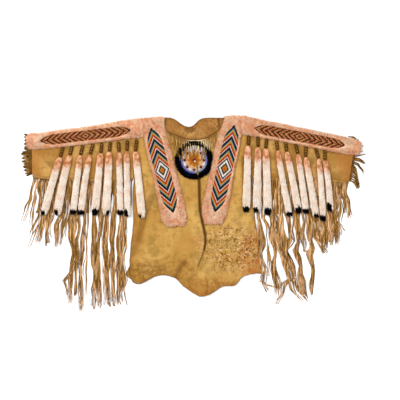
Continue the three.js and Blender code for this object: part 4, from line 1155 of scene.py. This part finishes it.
def tail_tints(places, line, low, high, black, chance):
    """Salmon at the tied end, white below it, and a black blot at the tip."""
    middle, half, tall = black
    down = high[1] - places[:, 1] + chance.normal(0, 0.003, len(places)) + 0.009 * blotch(places, 45, 1.0)
    rows = blended("#f7dfca", "#fff6ea", 0.6 + 0.5 * blotch(places, 40, 6.0))
    dye = np.clip((DYED_TOP - down) / 0.026, 0, 1)[:, None]
    top = blended("#cd8452", "#fac6a2", 0.5 + 0.9 * blotch(places, 70, 2.0))
    rows = rows * (1 - dye) + top * dye
    off = (places[:, 0] - np.polyval(line, places[:, 1])) / HALF_TAIL - middle
    from_tip = places[:, 1] - low[1] + chance.normal(0, 0.0012, len(places))
    blot = (np.abs(off / half) ** 3 + np.abs(from_tip / tall) ** 3 < 1)[:, None]
    return np.where(blot, np.array(ink("#060508")), rows)


tails = {}
for side, blacks in (("left", BLACK_LEFT), ("right", BLACK_RIGHT)):
    for number, black in enumerate(blacks, 1):
        node = f"tail_{side}_{number}"
        line, low, high = spine_of(node, 2)
        slope = np.polyder(line)
        skin = rounded(copied(node), 1, math.pi)
        places, facing = spots_on(skin, TAIL_TUFTS, 100 + number)
        chance = np.random.default_rng(200 + number)
        ends = low[1] + chance.uniform(0.002, 0.014, END_TUFTS)
        thick = (low[2] + high[2]) / 2 + chance.uniform(-0.004, 0.003, END_TUFTS)
        aside = chance.uniform(-0.013, 0.013, END_TUFTS)
        brush = np.stack([np.polyval(line, ends) + aside, ends, thick], axis=1)
        places = np.concatenate([places, brush])
        facing = np.concatenate([facing, np.tile((0, 0, 1), (END_TUFTS, 1))])
        leans, rows = np.polyval(slope, places[:, 1]), len(places)
        comb = unit(np.stack([leans, np.ones(rows), np.zeros(rows)], axis=1)) * -TAIL_COMB
        frames = combed(places, facing, comb, 0.3, TAIL_TUFT_LONG, TAIL_TUFT_WIDE, 300 + number)
        tints = tail_tints(places, line, low, high, black, chance)
        tints[:, :3] *= chance.uniform(0.96, 1.03, (len(tints), 1))
        hair = scattered(f"{node}_hair", tuft(), frames, tints, WHITE_FUR)
        base = tail_tints(np.array([v.co[:] for v in skin.verts]), line, low, high, black, chance)
        body = finished(f"{node}_core", skin, WHITE_FUR)
        tinted(body.data, base)
        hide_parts(node)
        tails[node] = (body, hair)
print("fur tails", len(tails))

# %% [markdown]
# ## Stitches
# The neck flap is sewn down along its scalloped edge, and the sleeves are sewn to the body. A stitch is a
# short rounded length of sinew. Each row follows a line on the plan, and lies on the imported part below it.

# %% Stitches
STITCH_LONG = 0.0062
STITCH_PITCH = 0.0094
STITCH_WIDE = 0.0021
SCALLOP = [
    (-0.137, 0.3255), (-0.117, 0.3165), (-0.089, 0.3065), (-0.061, 0.2955), (-0.033, 0.2885),
    (-0.005, 0.2855), (0.023, 0.2875), (0.052, 0.2945), (0.075, 0.3065), (0.099, 0.3215),
    (0.113, 0.3335), (0.121, 0.344),
]
SEAMS = [  # name and line of each row
    ("stitches_neck", SCALLOP),
    ("stitches_shoulder_left", [(-0.1375, 0.389), (-0.1365, 0.352)]),
    ("stitches_shoulder_right", [(0.1085, 0.385), (0.1095, 0.352)]),
    ("stitches_armhole_left", [(-0.2765, 0.286), (-0.282, 0.106)]),
    ("stitches_armhole_right", [(0.2545, 0.29), (0.2608, 0.108)]),
]
sinew = Finish("sinew", {"Roughness": 0.7})
twist = sinew.cloud(700.0, 2.0)
SINEW = sinew.surface(sinew.mix(twist, ink("#3a220b"), ink("#6d461c")), twist, 0.0003)
hides = faces_of(["front_panel", "neck_flap", "sleeve_left", "sleeve_right"])


def stitch():
    """A short length of sinew along X, thinner at its ends."""
    thread = bmesh.new()
    bmesh.ops.create_icosphere(thread, subdivisions=1, radius=0.5)
    return thread


def sewn(name, line):
    spots = np.array(line)
    runs = np.concatenate([[0], np.cumsum(np.linalg.norm(np.diff(spots, axis=0), axis=1))])
    at = np.arange(STITCH_PITCH / 2, runs[-1], STITCH_PITCH)
    middle = np.stack([np.interp(at, runs, spots[:, k]) for k in (0, 1)], axis=1)
    ahead = np.stack([np.interp(at + 0.001, runs, spots[:, k]) for k in (0, 1)], axis=1) - middle
    ahead = unit(np.column_stack([ahead, np.zeros(len(at))]))
    side = np.stack([-ahead[:, 1], ahead[:, 0], ahead[:, 2]], axis=1)
    places = [(x, y, (height(hides, x, y) or 0.004) + STITCH_WIDE * 0.25) for x, y in middle]
    upright = np.tile((0, 0, STITCH_WIDE), (len(at), 1))
    frames = frames_from(places, ahead * STITCH_LONG, side * STITCH_WIDE, upright)
    tints = np.ones((len(at), 4))
    return scattered(name, stitch(), frames, tints, SINEW)


seams = {name: sewn(name, line) for name, line in SEAMS}
print("stitches", sum(len(p.data.polygons) for p in seams.values()) // 20)

# %% [markdown]
# ## The sheets
# Each fur strip's table row gives the size that it was cut to, before it was sewn and laid down. A hide
# isn't a rectangle, so its flat area is given too, with what it lies on. A sleeve is one sheet folded over.
# The loops only look up the sleeves' fringes and the strips' pieces.

# %% The sheets
for side, piece in zip(("left", "right"), sleeves):
    ends = fringes[f"sleeve_fringe_{side}"] + fringes[f"cuff_fringe_{side}"]
PELTS = [  # width and length of each fur strip, its area, and what it lies on
    ("chest_fur_left", (0.105, 0.515), 0.0535, "front_hide"),
    ("chest_fur_right", (0.106, 0.505), 0.053, "front_hide"),
    ("sleeve_fur_left", (0.075, 0.55), 0.0405, "sleeve_left_hide"),
    ("sleeve_fur_right", (0.076, 0.57), 0.0426, "sleeve_right_hide"),
]
for name, flat, area, under in PELTS:
    body, hair = furs_made[name]

# %% Sizes
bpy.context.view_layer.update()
